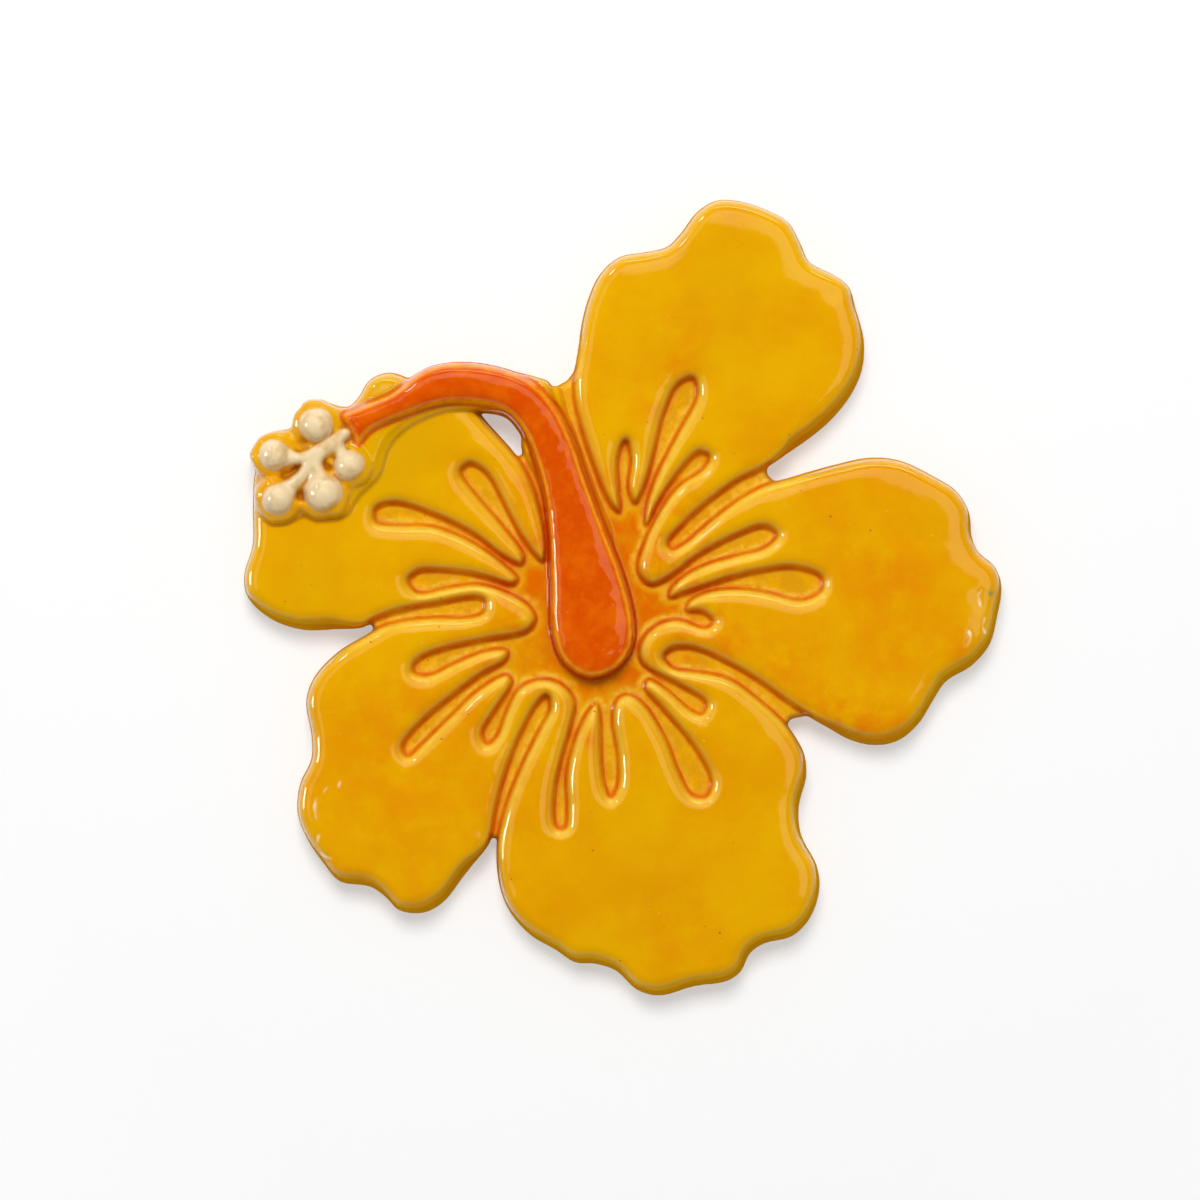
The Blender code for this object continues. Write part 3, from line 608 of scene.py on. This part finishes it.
LEAN_X, LEAN_Y = np.gradient(SKIN, PAPER_STEP)
mesh_x, mesh_y = np.meshgrid(grid_x, grid_y, indexing="ij")
tops = read_sheet(SKIN, mesh_x, mesh_y)
stretch = np.sqrt(1.0 + read_sheet(LEAN_X, mesh_x, mesh_y)**2
                  + read_sheet(LEAN_Y, mesh_x, mesh_y)**2)
rim_depth = read_sheet(ON_CLAY, mesh_x, mesh_y)
floor_level = BACK_BEVEL * np.clip(1.0 - rim_depth / BACK_BEVEL, 0.0, 1.5)**2
above = (grid_z[None, None, :] - tops[:, :, None]) / stretch[:, :, None]
below = floor_level[:, :, None] - grid_z[None, None, :]
field = np.clip(np.maximum(above, below), -FIELD_REACH, FIELD_REACH).astype(np.float32)
volume = openvdb.FloatGrid(FIELD_REACH)
volume.copyFromArray(field, tolerance=0.0)
corners, threes, fours = volume.convertToPolygons(isovalue=0.0, adaptivity=0.0)
print("first skin:", len(corners), "points,", len(threes) + 2 * len(fours), "triangles")

# %% [markdown]
# The raw skin has one facet per cell, far more than a flat crown needs.  Decimation
# merges facets where the surface is nearly flat and keeps them along edges and feet.
# The thinned facets look into the clay, so all of them are turned to look outwards.

# %% Thin the skin
MOST_TRIANGLES = 197000


def mesh_from(name, points, faces_of_four, faces_of_three):
    mesh = bpy.data.meshes.new(name)
    loops = np.concatenate([faces_of_four.ravel(), faces_of_three.ravel()])
    sizes = np.concatenate([np.full(len(faces_of_four), 4), np.full(len(faces_of_three), 3)])
    mesh.vertices.add(len(points))
    mesh.vertices.foreach_set("co", points.astype(np.float32).ravel())
    mesh.loops.add(len(loops))
    mesh.loops.foreach_set("vertex_index", loops.astype(np.int32))
    mesh.polygons.add(len(sizes))
    mesh.polygons.foreach_set("loop_start", (np.cumsum(sizes) - sizes).astype(np.int32))
    mesh.update(calc_edges=True)
    mesh.validate()
    return mesh


points = np.array(corners) * CELL + np.array([grid_x[0], grid_y[0], grid_z[0]])
rough = placed("rough_skin", mesh_from(
    "rough_skin", points * MM, np.array(fours)[:, ::-1], np.array(threes)[:, ::-1]))
thinning = rough.modifiers.new("thinning", "DECIMATE")
thinning.ratio = MOST_TRIANGLES / (len(threes) + 2 * len(fours))
settled = rough.evaluated_get(bpy.context.evaluated_depsgraph_get())
skin = bpy.data.meshes.new_from_object(settled)
skin.name = "glazed_hibiscus"
bpy.data.objects.remove(rough)
flower = placed("glazed_hibiscus", skin)
skin.shade_smooth()
skin.flip_normals()
print("glazed skin:", len(skin.polygons), "facets, clay volume",
      round(float(np.maximum(SKIN, 0).sum()) * PAPER_STEP**2 / 1000, 1), "cubic cm")

# %% [markdown]
# Shading normals are read from the height sheet itself, so highlights run smoothly over
# the facets as on wet-looking glaze.  Low walls and the back keep their own normals.

# %% Normals from the height sheet
LOWEST_TRUSTED, CLOSEST_MATCH = 1.6, 0.8
spots = np.empty(len(skin.vertices) * 3, np.float32)
skin.vertices.foreach_get("co", spots)
spots = spots.reshape(-1, 3) / MM
normals = np.empty(len(skin.vertices) * 3, np.float32)
skin.vertices.foreach_get("normal", normals)
normals = normals.reshape(-1, 3)
px, py = spots[:, 0].astype(float), spots[:, 1].astype(float)
lean_x, lean_y = read_sheet(LEAN_X, px, py), read_sheet(LEAN_Y, px, py)
from_sheet = np.stack([-lean_x, -lean_y, np.ones(len(px))], axis=1)
from_sheet /= np.linalg.norm(from_sheet, axis=1)[:, None]
trust = ((np.einsum("ij,ij->i", from_sheet, normals) > CLOSEST_MATCH)
         & (spots[:, 2] > LOWEST_TRUSTED))
normals[trust] = from_sheet[trust]
skin.normals_split_custom_set_from_vertices(normals)
print("normals from the sheet:", round(float(trust.mean()) * 100), "% of points")

# %% [markdown]
# Extra orange was dabbed here and there, and some crowns came out greener.  Each dab is
# a place, a width and a strength.

# %% Dabs of orange and green
ORANGE_DABS = [
    (43, -25, 5.5, 1), (50, -24, 4, 0.7), (30, -13, 6, 0.55), (20, -8, 3.5, 0.9),
    (38, -20, 4, 0.5), (11, 43.5, 3, 0.75), (5, 36, 5, 0.4), (12, 50, 6, 0.35),
    (-6.5, -26, 1.8, 1), (-2.5, -17, 2.2, 0.6), (52, 4, 6.5, 0.45), (50, -12, 7, 0.3),
    (63, -9, 3.5, 0.6), (-22, 6, 2.2, 0.7), (-19, 21, 2, 0.7), (-33, 10, 4, 0.35),
    (-31, -11.5, 3, 0.6), (-20, -6, 2.2, 0.8), (-26, -12, 2.4, 0.8),
    (-30, -20, 3, 0.45), (-17, -17, 2.4, 0.5), (-40, -20, 9, 0.3), (4, -30, 4, 0.3),
    (10, -16, 2.2, 0.6), (13, -5, 2.4, 0.7), (9, 3, 2.2, 0.6), (7, 12, 2, 0.6),
    (2, 12, 2, 0.5), (10, -58, 12, 0.25), (-16, -34, 6, 0.3), (-18, 30, 2, 0.4),
    (20, 6, 2.6, 0.5), (16, 16, 3, 0.3), (20, 30, 6, 0.2), (-40, -36, 22, 0.36),
    (44, 0, 18, 0.24)]
GREEN_SHADES = [
    (-45, 26, 9, 0.8), (-58, 4, 10, 0.45), (-36, 30, 6, 0.5), (20, 62, 8, 0.3),
    (-45, 40, 3, 0.9), (60, 15, 5, 0.2), (16, 50, 16, 0.35), (5, -50, 16, 0.3)]


def dabbed(dabs):
    amount = np.zeros(len(px))
    for x, y, wide, strength in dabs:
        amount += strength * np.exp(-((px - x)**2 + (py - y)**2) / wide**2)
    return np.clip(amount, 0, 1)


print("dabs:", len(ORANGE_DABS), "orange,", len(GREEN_SHADES), "green")

# %% [markdown]
# The glaze follows values stored on the points of the skin, so its shades stay put.

# %% Store the glaze values on the skin
BLEMISH_X, BLEMISH_Y = 68.7, 0.8
on_the_skin = {
    "pooled_and_shade": POOLED_AND_SHADE, "thin": THIN, "crease": CREASE, "pale_rim_and_highlight": PALE_RIM_AND_HIGHLIGHT,
    "foot_highlight": FOOT_HIGHLIGHT, "side_wall": SIDE_WALL, "spray": soften(IN_SPRAY_BED, -0.5, 0.3),
    # The scratches also carry a painted highlight.
    "scratches_and_highlight": scratches_and_highlight * (0.6 + 0.35 * hand_waves(17, 12, 1.8, 5.0)),
    "olive_and_shade": OLIVE_AND_SHADE, "sunken": SUNKEN, "open_floor": AWAY_FROM_WALLS,
    "orange_roll": ORANGE_ROLL, "roll_edge": ROLL_EDGE, "ivory": IVORY,
    "near_heart": NEAR_HEART}
glaze_values = {name: read_sheet(sheet, px, py) for name, sheet in on_the_skin.items()}
glaze_values["blemish"] = np.exp(-(((px - BLEMISH_X) / 0.7)**2
                                   + ((py - BLEMISH_Y) / 0.45)**2))
glaze_values["orange_dab"] = dabbed(ORANGE_DABS)
glaze_values["green_shade"] = dabbed(GREEN_SHADES)
glaze_values["bare"] = (normals[:, 2] < -0.6).astype(float)
for name, values in glaze_values.items():
    skin.attributes.new(name, "FLOAT", "POINT").data.foreach_set(
        "value", values.astype(np.float32))
print("glaze values:", ", ".join(glaze_values))

# %% [markdown]
# One glaze covers the whole piece.  Its colour is built up the way the potter sees it,
# one shade over another.  Each helper adds a node and hands back its output.

# %% Helpers that mix glaze
glaze = bpy.data.materials.new("amber_glaze")
glaze.use_nodes = True
tree = glaze.node_tree
tree.nodes.clear()


def colour(red, green, blue):
    """A colour given as it looks on a screen, 0 to 255, turned into scene light."""
    levels = [v / 255 for v in (red, green, blue)]
    return [v / 12.92 if v <= 0.04045 else ((v + 0.055) / 1.055)**2.4 for v in levels] + [1]


def add(kind, **settings):
    made = tree.nodes.new("ShaderNode" + kind)
    for key, value in settings.items():
        setattr(made, key, value)
    return made


def feed(socket, value):
    if isinstance(value, bpy.types.NodeSocket):
        tree.links.new(value, socket)
    else:
        socket.default_value = value


def stored(name):
    """A value that was stored on the skin."""
    return add("Attribute", attribute_name=name).outputs["Fac"]


def worked_out(operation, a, b):
    made = add("Math", operation=operation)
    feed(made.inputs[0], a)
    feed(made.inputs[1], b)
    return made.outputs[0]


def times(a, b):
    return worked_out("MULTIPLY", a, b)


def plus(a, b):
    return worked_out("ADD", a, b)


def ramp(value, low, high, to_low=0.0, to_high=1.0):
    """Go gently from one amount to another while the value goes from low to high."""
    made = add("MapRange", interpolation_type="SMOOTHSTEP")
    for socket, item in zip(made.inputs, (value, low, high, to_low, to_high)):
        feed(socket, item)
    return made.outputs[0]


def blend(amount, under, over):
    """Lay one shade over another."""
    made = add("Mix", data_type="RGBA")
    feed(made.inputs["Factor"], amount)
    feed(made.inputs["A"], under)
    feed(made.inputs["B"], over)
    return made.outputs["Result"]


print("glaze is called", glaze.name)

# %% [markdown]
# Glaze is never one flat colour.  Clouds are noise of a given size; each has its own
# shift, so no two line up.  Dots serve as pinholes and specks.

# %% Clouds and dots in the glaze
place = add("TexCoord").outputs["Object"]


def cloud(size_mm, detail=3.0, rough=0.55, shift=0.0):
    made = add("TexNoise", noise_dimensions="4D")
    feed(made.inputs["Vector"], place)
    feed(made.inputs["W"], shift)
    feed(made.inputs["Scale"], 1000.0 / size_mm)
    feed(made.inputs["Detail"], detail)
    feed(made.inputs["Roughness"], rough)
    return made.outputs["Fac"]


def dots(size_mm):
    """Distance to the middle of the nearest dot, and two random numbers for that dot."""
    made = add("TexVoronoi")
    feed(made.inputs["Vector"], place)
    feed(made.inputs["Scale"], 1000.0 / size_mm)
    lots = add("SeparateColor")
    feed(lots.inputs[0], made.outputs["Color"])
    return made.outputs["Distance"], lots.outputs[0], lots.outputs[1]


print("clouds and dots: sizes in mm")

# %% [markdown]
# The crowns are clear amber with deeper clouds, greener patches, orange dabs, and more
# orange towards the heart of the flower.

# %% Amber of the crowns
AMBER = colour(232, 172, 1)
AMBER_DEEP = colour(227, 153, 1)
AMBER_GREEN = colour(214, 166, 4)
ORANGE_DAB = colour(226, 122, 4)
dabs = times(stored("orange_dab"), ramp(cloud(5.0, 4.0, 0.6, 2.0), 0.3, 0.62))
crown = blend(ramp(cloud(14.0, 5.0, 0.6), 0.36, 0.7), AMBER, AMBER_DEEP)
crown = blend(times(stored("green_shade"), 0.8), crown, AMBER_GREEN)
crown = blend(dabs, crown, ORANGE_DAB)
heart = stored("near_heart")
near_centre = times(heart, ramp(cloud(3.2, 4.0, 0.6, 6.0), 0.38, 0.66))
crown = blend(times(near_centre, 0.9), crown, ORANGE_DAB)
fine = ramp(cloud(1.1, 4.0, 0.7, 8.0), 0.25, 0.75)
crown = blend(times(fine, 0.16), crown, AMBER_DEEP)
print("crown shades: 4")

# %% [markdown]
# The sunken floor is ochre, sponged with orange most heavily in the open middle.

# %% Ochre and orange of the floor
FLOOR_OCHRE = colour(218, 157, 14)
FLOOR_YELLOW = colour(230, 167, 3)
FLOOR_ORANGE = colour(220, 106, 1)
sponge = ramp(cloud(6.0, 4.0, 0.6, 5.0), 0.3, 0.55, 0.45, 1.0)
sponge = times(sponge, ramp(stored("open_floor"), 0.0, 1.0, 0.25, 1.0))
sponge = times(sponge, ramp(heart, 0.25, 0.9, 0.06, 1.0))
floor_shade = blend(ramp(cloud(3.0, 4.0, 0.65, 11.0), 0.4, 0.6), FLOOR_YELLOW, FLOOR_OCHRE)
floor_shade = blend(sponge, floor_shade, FLOOR_ORANGE)
shade = blend(stored("sunken"), crown, floor_shade)
print("floor shades: 3")

# %% [markdown]
# The pistil is strong orange, mottled, and lighter along its edge where the glaze thins.

# %% Orange of the pistil
PISTIL_DEEP = colour(215, 76, 1)
PISTIL_LIGHT = colour(232, 108, 4)
ROLL_RIM = colour(250, 158, 16)
roll = blend(ramp(cloud(4.5, 4.0, 0.6, 9.0), 0.4, 0.75, 0.0, 0.7), PISTIL_DEEP, PISTIL_LIGHT)
roll = blend(ramp(cloud(1.6, 4.0, 0.7, 15.0), 0.5, 0.72, 0.0, 0.4), roll, PISTIL_LIGHT)
thin_edge = ramp(cloud(2.0, 3.0, 0.6, 12.0), 0.3, 0.6, 0.45, 1.0)
roll = blend(times(stored("roll_edge"), thin_edge), roll, ROLL_RIM)
shade = blend(stored("orange_roll"), shade, roll)
print("pistil shades: 3")

# %% [markdown]
# Thin glaze is pale along the rims, with a painted highlight on rims that face the top and
# at the foot of the groove walls, and olive where it runs down a leaning edge, with painted
# shade where that edge faces the lower right.

# %% Pale and olive edges, with painted highlight and shade
RIM_PALE_AND_HIGHLIGHT = colour(246, 205, 72)
RIM_OLIVE_SHADE = colour(214, 170, 58)
# Pale rims are thin glaze plus painted highlight; the foot lines are painted highlight.
pale_and_highlight_amount = times(stored("pale_rim_and_highlight"), ramp(cloud(2.2, 4.0, 0.65, 17.0), 0.32, 0.6, 0.6, 1.05))
pale_and_highlight_amount = plus(times(stored("thin"), 0.15), pale_and_highlight_amount)
broken = ramp(cloud(1.6, 3.0, 0.6, 13.0), 0.34, 0.56)
# Painted highlight along the foot of the groove walls.
pale_and_highlight_amount = plus(pale_and_highlight_amount, times(stored("foot_highlight"), broken))
pale_and_highlight_amount = times(pale_and_highlight_amount, ramp(stored("orange_roll"), 0, 1, 0.78, 0.0))
shade = blend(pale_and_highlight_amount, shade, RIM_PALE_AND_HIGHLIGHT)
# Olive is thin glaze plus painted shade where walls face the lower right.
olive_and_shade_amount = times(stored("olive_and_shade"), ramp(cloud(2.5, 3.0, 0.5, 3.0), 0.3, 0.6, 0.25, 0.75))
shade = blend(olive_and_shade_amount, shade, RIM_OLIVE_SHADE)
print("edge shades: 2")

# %% [markdown]
# Thick glaze is dark: orange along the feet of the walls, redder towards the heart and
# in the crease round the pistil, and brown between the beads.  Up walls that face the lower
# right the dark band is partly painted shade.

# %% Pools and creases, with painted shade
POOL_RED = colour(204, 74, 1)
POOL_ORANGE = colour(216, 108, 2)
SPRAY_BROWN = colour(168, 92, 8)
CREASE_RED = colour(196, 46, 3)
redder = plus(times(heart, 0.7), ramp(cloud(7.0, 3.0, 0.5, 14.0), 0.35, 0.65, 0.0, 0.5))
pool = blend(worked_out("MINIMUM", redder, 1.0), POOL_ORANGE, POOL_RED)
pool = blend(stored("spray"), pool, SPRAY_BROWN)
patchy = ramp(cloud(4.0, 3.0, 0.6, 16.0), 0.3, 0.62, 0.55, 0.95)
# Pooled glaze, with painted shade on walls that face the lower right.
shade = blend(times(stored("pooled_and_shade"), patchy), shade, pool)
shade = blend(times(stored("crease"), 0.85), shade, CREASE_RED)
print("pool shades: 4")

# %% [markdown]
# Beads and threads are ivory slip with warm blotches.  The lower half of every side wall
# is browner, partly because less glaze reached it and partly as painted shade.

# %% Ivory slip, and side walls with painted shade
IVORY_SLIP = colour(234, 210, 166)
IVORY_WARM = colour(208, 168, 104)
SIDE_GOLD_AND_SHADE = colour(208, 145, 16)
SIDE_TAN_AND_SHADE = colour(190, 134, 44)
slip = blend(ramp(cloud(3.0, 3.0, 0.5, 1.0), 0.46, 0.7, 0.0, 0.7), IVORY_SLIP, IVORY_WARM)
shade = blend(stored("ivory"), shade, slip)
height_of = add("SeparateXYZ")
feed(height_of.inputs[0], place)
level = height_of.outputs["Z"]
# Painted shade, with thin glaze: side walls get darker towards the table.
shade = blend(ramp(level, 5.6 * MM, 4.2 * MM, 0.0, 0.85), shade, SIDE_GOLD_AND_SHADE)
shade = blend(ramp(level, 1.8 * MM, 0.4 * MM, 0.0, 0.5), shade, SIDE_TAN_AND_SHADE)
print("slip shades: 2, side wall shades: 2")

# %% [markdown]
# Last come the faults of the kiln, a painted highlight along the scratches, and the bare
# clay of the back.

# %% Pinholes, specks, painted scratch highlights and bare clay
PINHOLE = colour(134, 80, 10)
PALE_SPECK = colour(244, 214, 120)
SCRATCH_HIGHLIGHT = colour(255, 240, 200)
BLEMISH_GREEN = colour(120, 132, 70)
BARE_CLAY = colour(214, 196, 172)
hole_gap, hole_lot, hole_size_lot = dots(2.6)
hole_size = ramp(hole_size_lot, 0.0, 1.0, 0.03, 0.08)
holes = times(ramp(worked_out("DIVIDE", hole_gap, hole_size), 0.6, 1.3, 1.0, 0.0),
              ramp(hole_lot, 0.5, 0.9))
shade = blend(times(holes, 0.8), shade, PINHOLE)
speck_gap, speck_lot, _ = dots(1.7)
specks = times(ramp(speck_gap, 0.06, 0.13, 1.0, 0.0), ramp(speck_lot, 0.8, 1.0))
shade = blend(times(specks, 0.3), shade, PALE_SPECK)
# Painted highlight: white along the scratches.
shade = blend(ramp(stored("scratches_and_highlight"), 0.2, 0.9, 0.0, 0.8), shade, SCRATCH_HIGHLIGHT)
shade = blend(stored("blemish"), shade, BLEMISH_GREEN)
shade = blend(stored("bare"), shade, BARE_CLAY)
print("fault shades: 5")

# %% [markdown]
# The glaze is glossy, with a slow ripple and shallow pinholes.  The side walls are
# nearly matt and do not mirror the table, and the bare back is rough and gritty.

# %% Surface of the glaze
GLOSSY, MATT = 0.07, 0.75
BUMP_HEIGHT = 0.00006
side_wall = stored("side_wall")
body = add("BsdfPrincipled")
feed(body.inputs["Base Color"], shade)
feed(body.inputs["IOR"], 1.52)
dull = worked_out("MAXIMUM", stored("bare"), times(side_wall, 0.4))
feed(body.inputs["Roughness"], ramp(dull, 0.0, 1.0, GLOSSY, MATT))
feed(body.inputs["Specular IOR Level"], ramp(side_wall, 0.0, 0.9, 0.5, 0.0))
ripple = plus(times(cloud(3.2, 2.0, 0.4, 7.0), 0.8), times(cloud(0.9, 1.0, 0.4, 6.0), 0.06))
ripple = worked_out("SUBTRACT", ripple, times(holes, 0.25))
grit = times(cloud(0.4, 4.0, 0.7, 4.0), stored("bare"))
uneven = add("Bump")
feed(uneven.inputs["Height"], plus(ripple, grit))
feed(uneven.inputs["Strength"], 1.0)
feed(uneven.inputs["Distance"], BUMP_HEIGHT)
feed(body.inputs["Normal"], uneven.outputs[0])
tree.links.new(body.outputs[0], add("OutputMaterial").inputs["Surface"])
skin.materials.append(glaze)
print("glaze:", len(tree.nodes), "nodes")

# %% [markdown]
# The skin rides on the fixed body of the model and takes the place of the plain solid.

# %% Fix the skin to the frame
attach(flower, "root")
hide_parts("ceramic_hibiscus")
print(flower.name, "stands for ceramic_hibiscus")

# %% [markdown]
# The piece lies on a white table that glows more with distance, so only the soft shadow
# round the flower is darker than the sheet.

# %% White table
TABLE_HALF = 40.0
WHITE = (1.0, 1.0, 1.0, 1)
FINISH = {"Base Color": (0.56, 0.56, 0.56, 1), "Roughness": 1.0, "Specular IOR Level": 0.0,
          "Emission Color": WHITE}
GLOW = {"From Min": 0.12, "From Max": 1.0, "To Min": 0.4, "To Max": 0.8}
scene.view_settings.view_transform = "Standard"
table_mesh = bpy.data.meshes.new("white_table")
table_mesh.from_pydata([(-TABLE_HALF, -TABLE_HALF, 0), (TABLE_HALF, -TABLE_HALF, 0),
                        (TABLE_HALF, TABLE_HALF, 0), (-TABLE_HALF, TABLE_HALF, 0)],
                       [], [(0, 1, 2, 3)])
table = placed("white_table", table_mesh)
paper = bpy.data.materials.new("white_paper")
paper.use_nodes = True
table_finish = paper.node_tree.nodes["Principled BSDF"]
for socket, value in FINISH.items():
    table_finish.inputs[socket].default_value = value
nodes, links = paper.node_tree.nodes, paper.node_tree.links
from_middle = nodes.new("ShaderNodeVectorMath")
from_middle.operation = "LENGTH"
links.new(nodes.new("ShaderNodeTexCoord").outputs["Object"], from_middle.inputs[0])
glowing = nodes.new("ShaderNodeMapRange")
for socket, value in GLOW.items():
    glowing.inputs[socket].default_value = value
links.new(from_middle.outputs["Value"], glowing.inputs["Value"])
links.new(glowing.outputs["Result"], table_finish.inputs["Emission Strength"])
table_mesh.materials.append(paper)
print("table reaches", TABLE_HALF, "m each way")

# %% [markdown]
# A tall white drop stands round the table, so no horizon shows from the side.  It lights
# nothing and reflects in nothing.

# %% White drop round the table
DROP_STEPS, DROP_AWAY, DROP_TALL = 48, 8.0, 6.0


def glow_material(name, radiance, colour=WHITE):
    """A material that only shines."""
    made = bpy.data.materials.new(name)
    made.use_nodes = True
    made.node_tree.nodes.clear()
    shine = made.node_tree.nodes.new("ShaderNodeEmission")
    shine.inputs["Color"].default_value = colour
    shine.inputs["Strength"].default_value = radiance
    out = made.node_tree.nodes.new("ShaderNodeOutputMaterial")
    made.node_tree.links.new(shine.outputs[0], out.inputs["Surface"])
    return made


ring = [(DROP_AWAY * math.cos(2 * math.pi * k / DROP_STEPS),
         DROP_AWAY * math.sin(2 * math.pi * k / DROP_STEPS)) for k in range(DROP_STEPS)]
drop_mesh = bpy.data.meshes.new("white_backdrop")
drop_mesh.from_pydata([(x, y, z) for z in (-0.5, DROP_TALL) for x, y in ring], [],
                      [(k, (k + 1) % DROP_STEPS, DROP_STEPS + (k + 1) % DROP_STEPS,
                        DROP_STEPS + k) for k in range(DROP_STEPS)])
drop_mesh.materials.append(glow_material("white_cloth", 1.0))
backdrop = placed("white_backdrop", drop_mesh)
backdrop.visible_diffuse = backdrop.visible_glossy = backdrop.visible_shadow = False
print("drop stands", DROP_AWAY, "m away")

# %% [markdown]
# The light is a white tent: even, soft and from all sides.  It is kept out of the
# reflections, so the flat crowns stay deep in colour.

# %% Even tent light
TENT_LIGHT = 0.38
tent = bpy.data.worlds.new("white_tent")
scene.world = tent
tent.use_nodes = True
tent.node_tree.nodes["Background"].inputs["Color"].default_value = WHITE
tent.node_tree.nodes["Background"].inputs["Strength"].default_value = TENT_LIGHT
tent.cycles_visibility.glossy = False
print("tent light:", TENT_LIGHT)

# %% [markdown]
# One soft lamp high at the top left makes the short shadow.  The other lamps only show as
# reflections: narrow windows draw the thin white lines along the edges, and four dim
# walls give the sides something to mirror.

# %% Lamp and windows
def lamp(name, compass, down, away, wide, tall, radiance, for_gloss):
    """A flat lamp aimed at the flower; compass is clockwise from the top of the view."""
    data = bpy.data.lights.new(name, "AREA")
    data.shape = "RECTANGLE"
    data.size, data.size_y = wide, tall
    data.energy = radiance * math.pi * wide * tall
    made = placed(name, data)
    a, b = math.radians(compass), math.radians(down)
    direction = Vector((math.sin(a) * math.sin(b), math.cos(a) * math.sin(b), math.cos(b)))
    made.location = direction * away
    made.rotation_mode = "QUATERNION"
    made.rotation_quaternion = direction.to_track_quat("Z", "Y")
    made.visible_camera = False
    made.visible_diffuse = not for_gloss
    made.visible_glossy = for_gloss


for setting in [("soft_lamp", -10, 29, 1.2, 0.44, 0.44, 19.0, False),
                ("left_window", -88, 67, 1.5, 0.42, 0.42, 17.0, True),
                ("top_window", 8, 62, 1.6, 1.2, 0.12, 8.0, True),
                ("corner_window", -42, 58, 1.5, 0.2, 0.2, 16.0, True)]:
    lamp(*setting)
for compass in (0, 90, 180, 270):
    lamp(f"tent_wall_{compass}", compass, 80, 2.2, 4.0, 1.0, 0.4, True)

# %% [markdown]
# The wide pale bands on the petals are two large curved cards seen in the glaze.  They
# hang in a ring from the left over the top to the right, and stop short of overhead.
# Each is a strip of faces, and only reflections can see it.

# %% Curved reflection cards
CARD_AWAY, CARD_STEPS = 2.0, 24
WARM_WHITE = (1.0, 0.97, 0.66, 1.0)


def curved_card(name, start, end, inner, outer, radiance):
    corners_of_card = []
    for step in range(CARD_STEPS + 1):
        turn = math.radians(start + (end - start) * step / CARD_STEPS)
        for tilt in (math.radians(inner), math.radians(outer)):
            corners_of_card.append((math.sin(turn) * math.sin(tilt) * CARD_AWAY,
                                    math.cos(turn) * math.sin(tilt) * CARD_AWAY,
                                    math.cos(tilt) * CARD_AWAY))
    mesh = bpy.data.meshes.new(name)
    mesh.from_pydata(corners_of_card, [], [(2 * k, 2 * k + 1, 2 * k + 3, 2 * k + 2)
                                           for k in range(CARD_STEPS)])
    mesh.materials.append(glow_material(name + "_light", radiance, WARM_WHITE))
    made = placed(name, mesh)
    made.visible_camera = made.visible_diffuse = made.visible_shadow = False
    made.visible_transmission = made.visible_volume_scatter = False
    print(name, "spans", end - start, "degrees")


curved_card("right_card", start=-26, end=114, inner=12.3, outer=40.0, radiance=1.25)
curved_card("left_card", start=-112, end=-26, inner=22.0, outer=40.0, radiance=0.9)

# %% [markdown]
# The camera hangs straight above with a long lens, so the walls are seen edge on and the
# whole flower keeps its true plan.

# %% Camera overhead
VIEW_WIDTH = 225.3 * MM
LENS, SENSOR_WIDTH = 190.0, 36.0
camera_data = bpy.data.cameras.new("overhead_camera")
camera_data.lens = LENS
camera_data.sensor_width = SENSOR_WIDTH
camera_data.clip_end = 100.0
camera = placed("overhead_camera", camera_data)
distance = VIEW_WIDTH * LENS / SENSOR_WIDTH
camera.location = (-4.245 * MM, -0.377 * MM, distance + 3 * MM)
scene.camera = camera
print("camera", round(distance, 2), "m above the table")
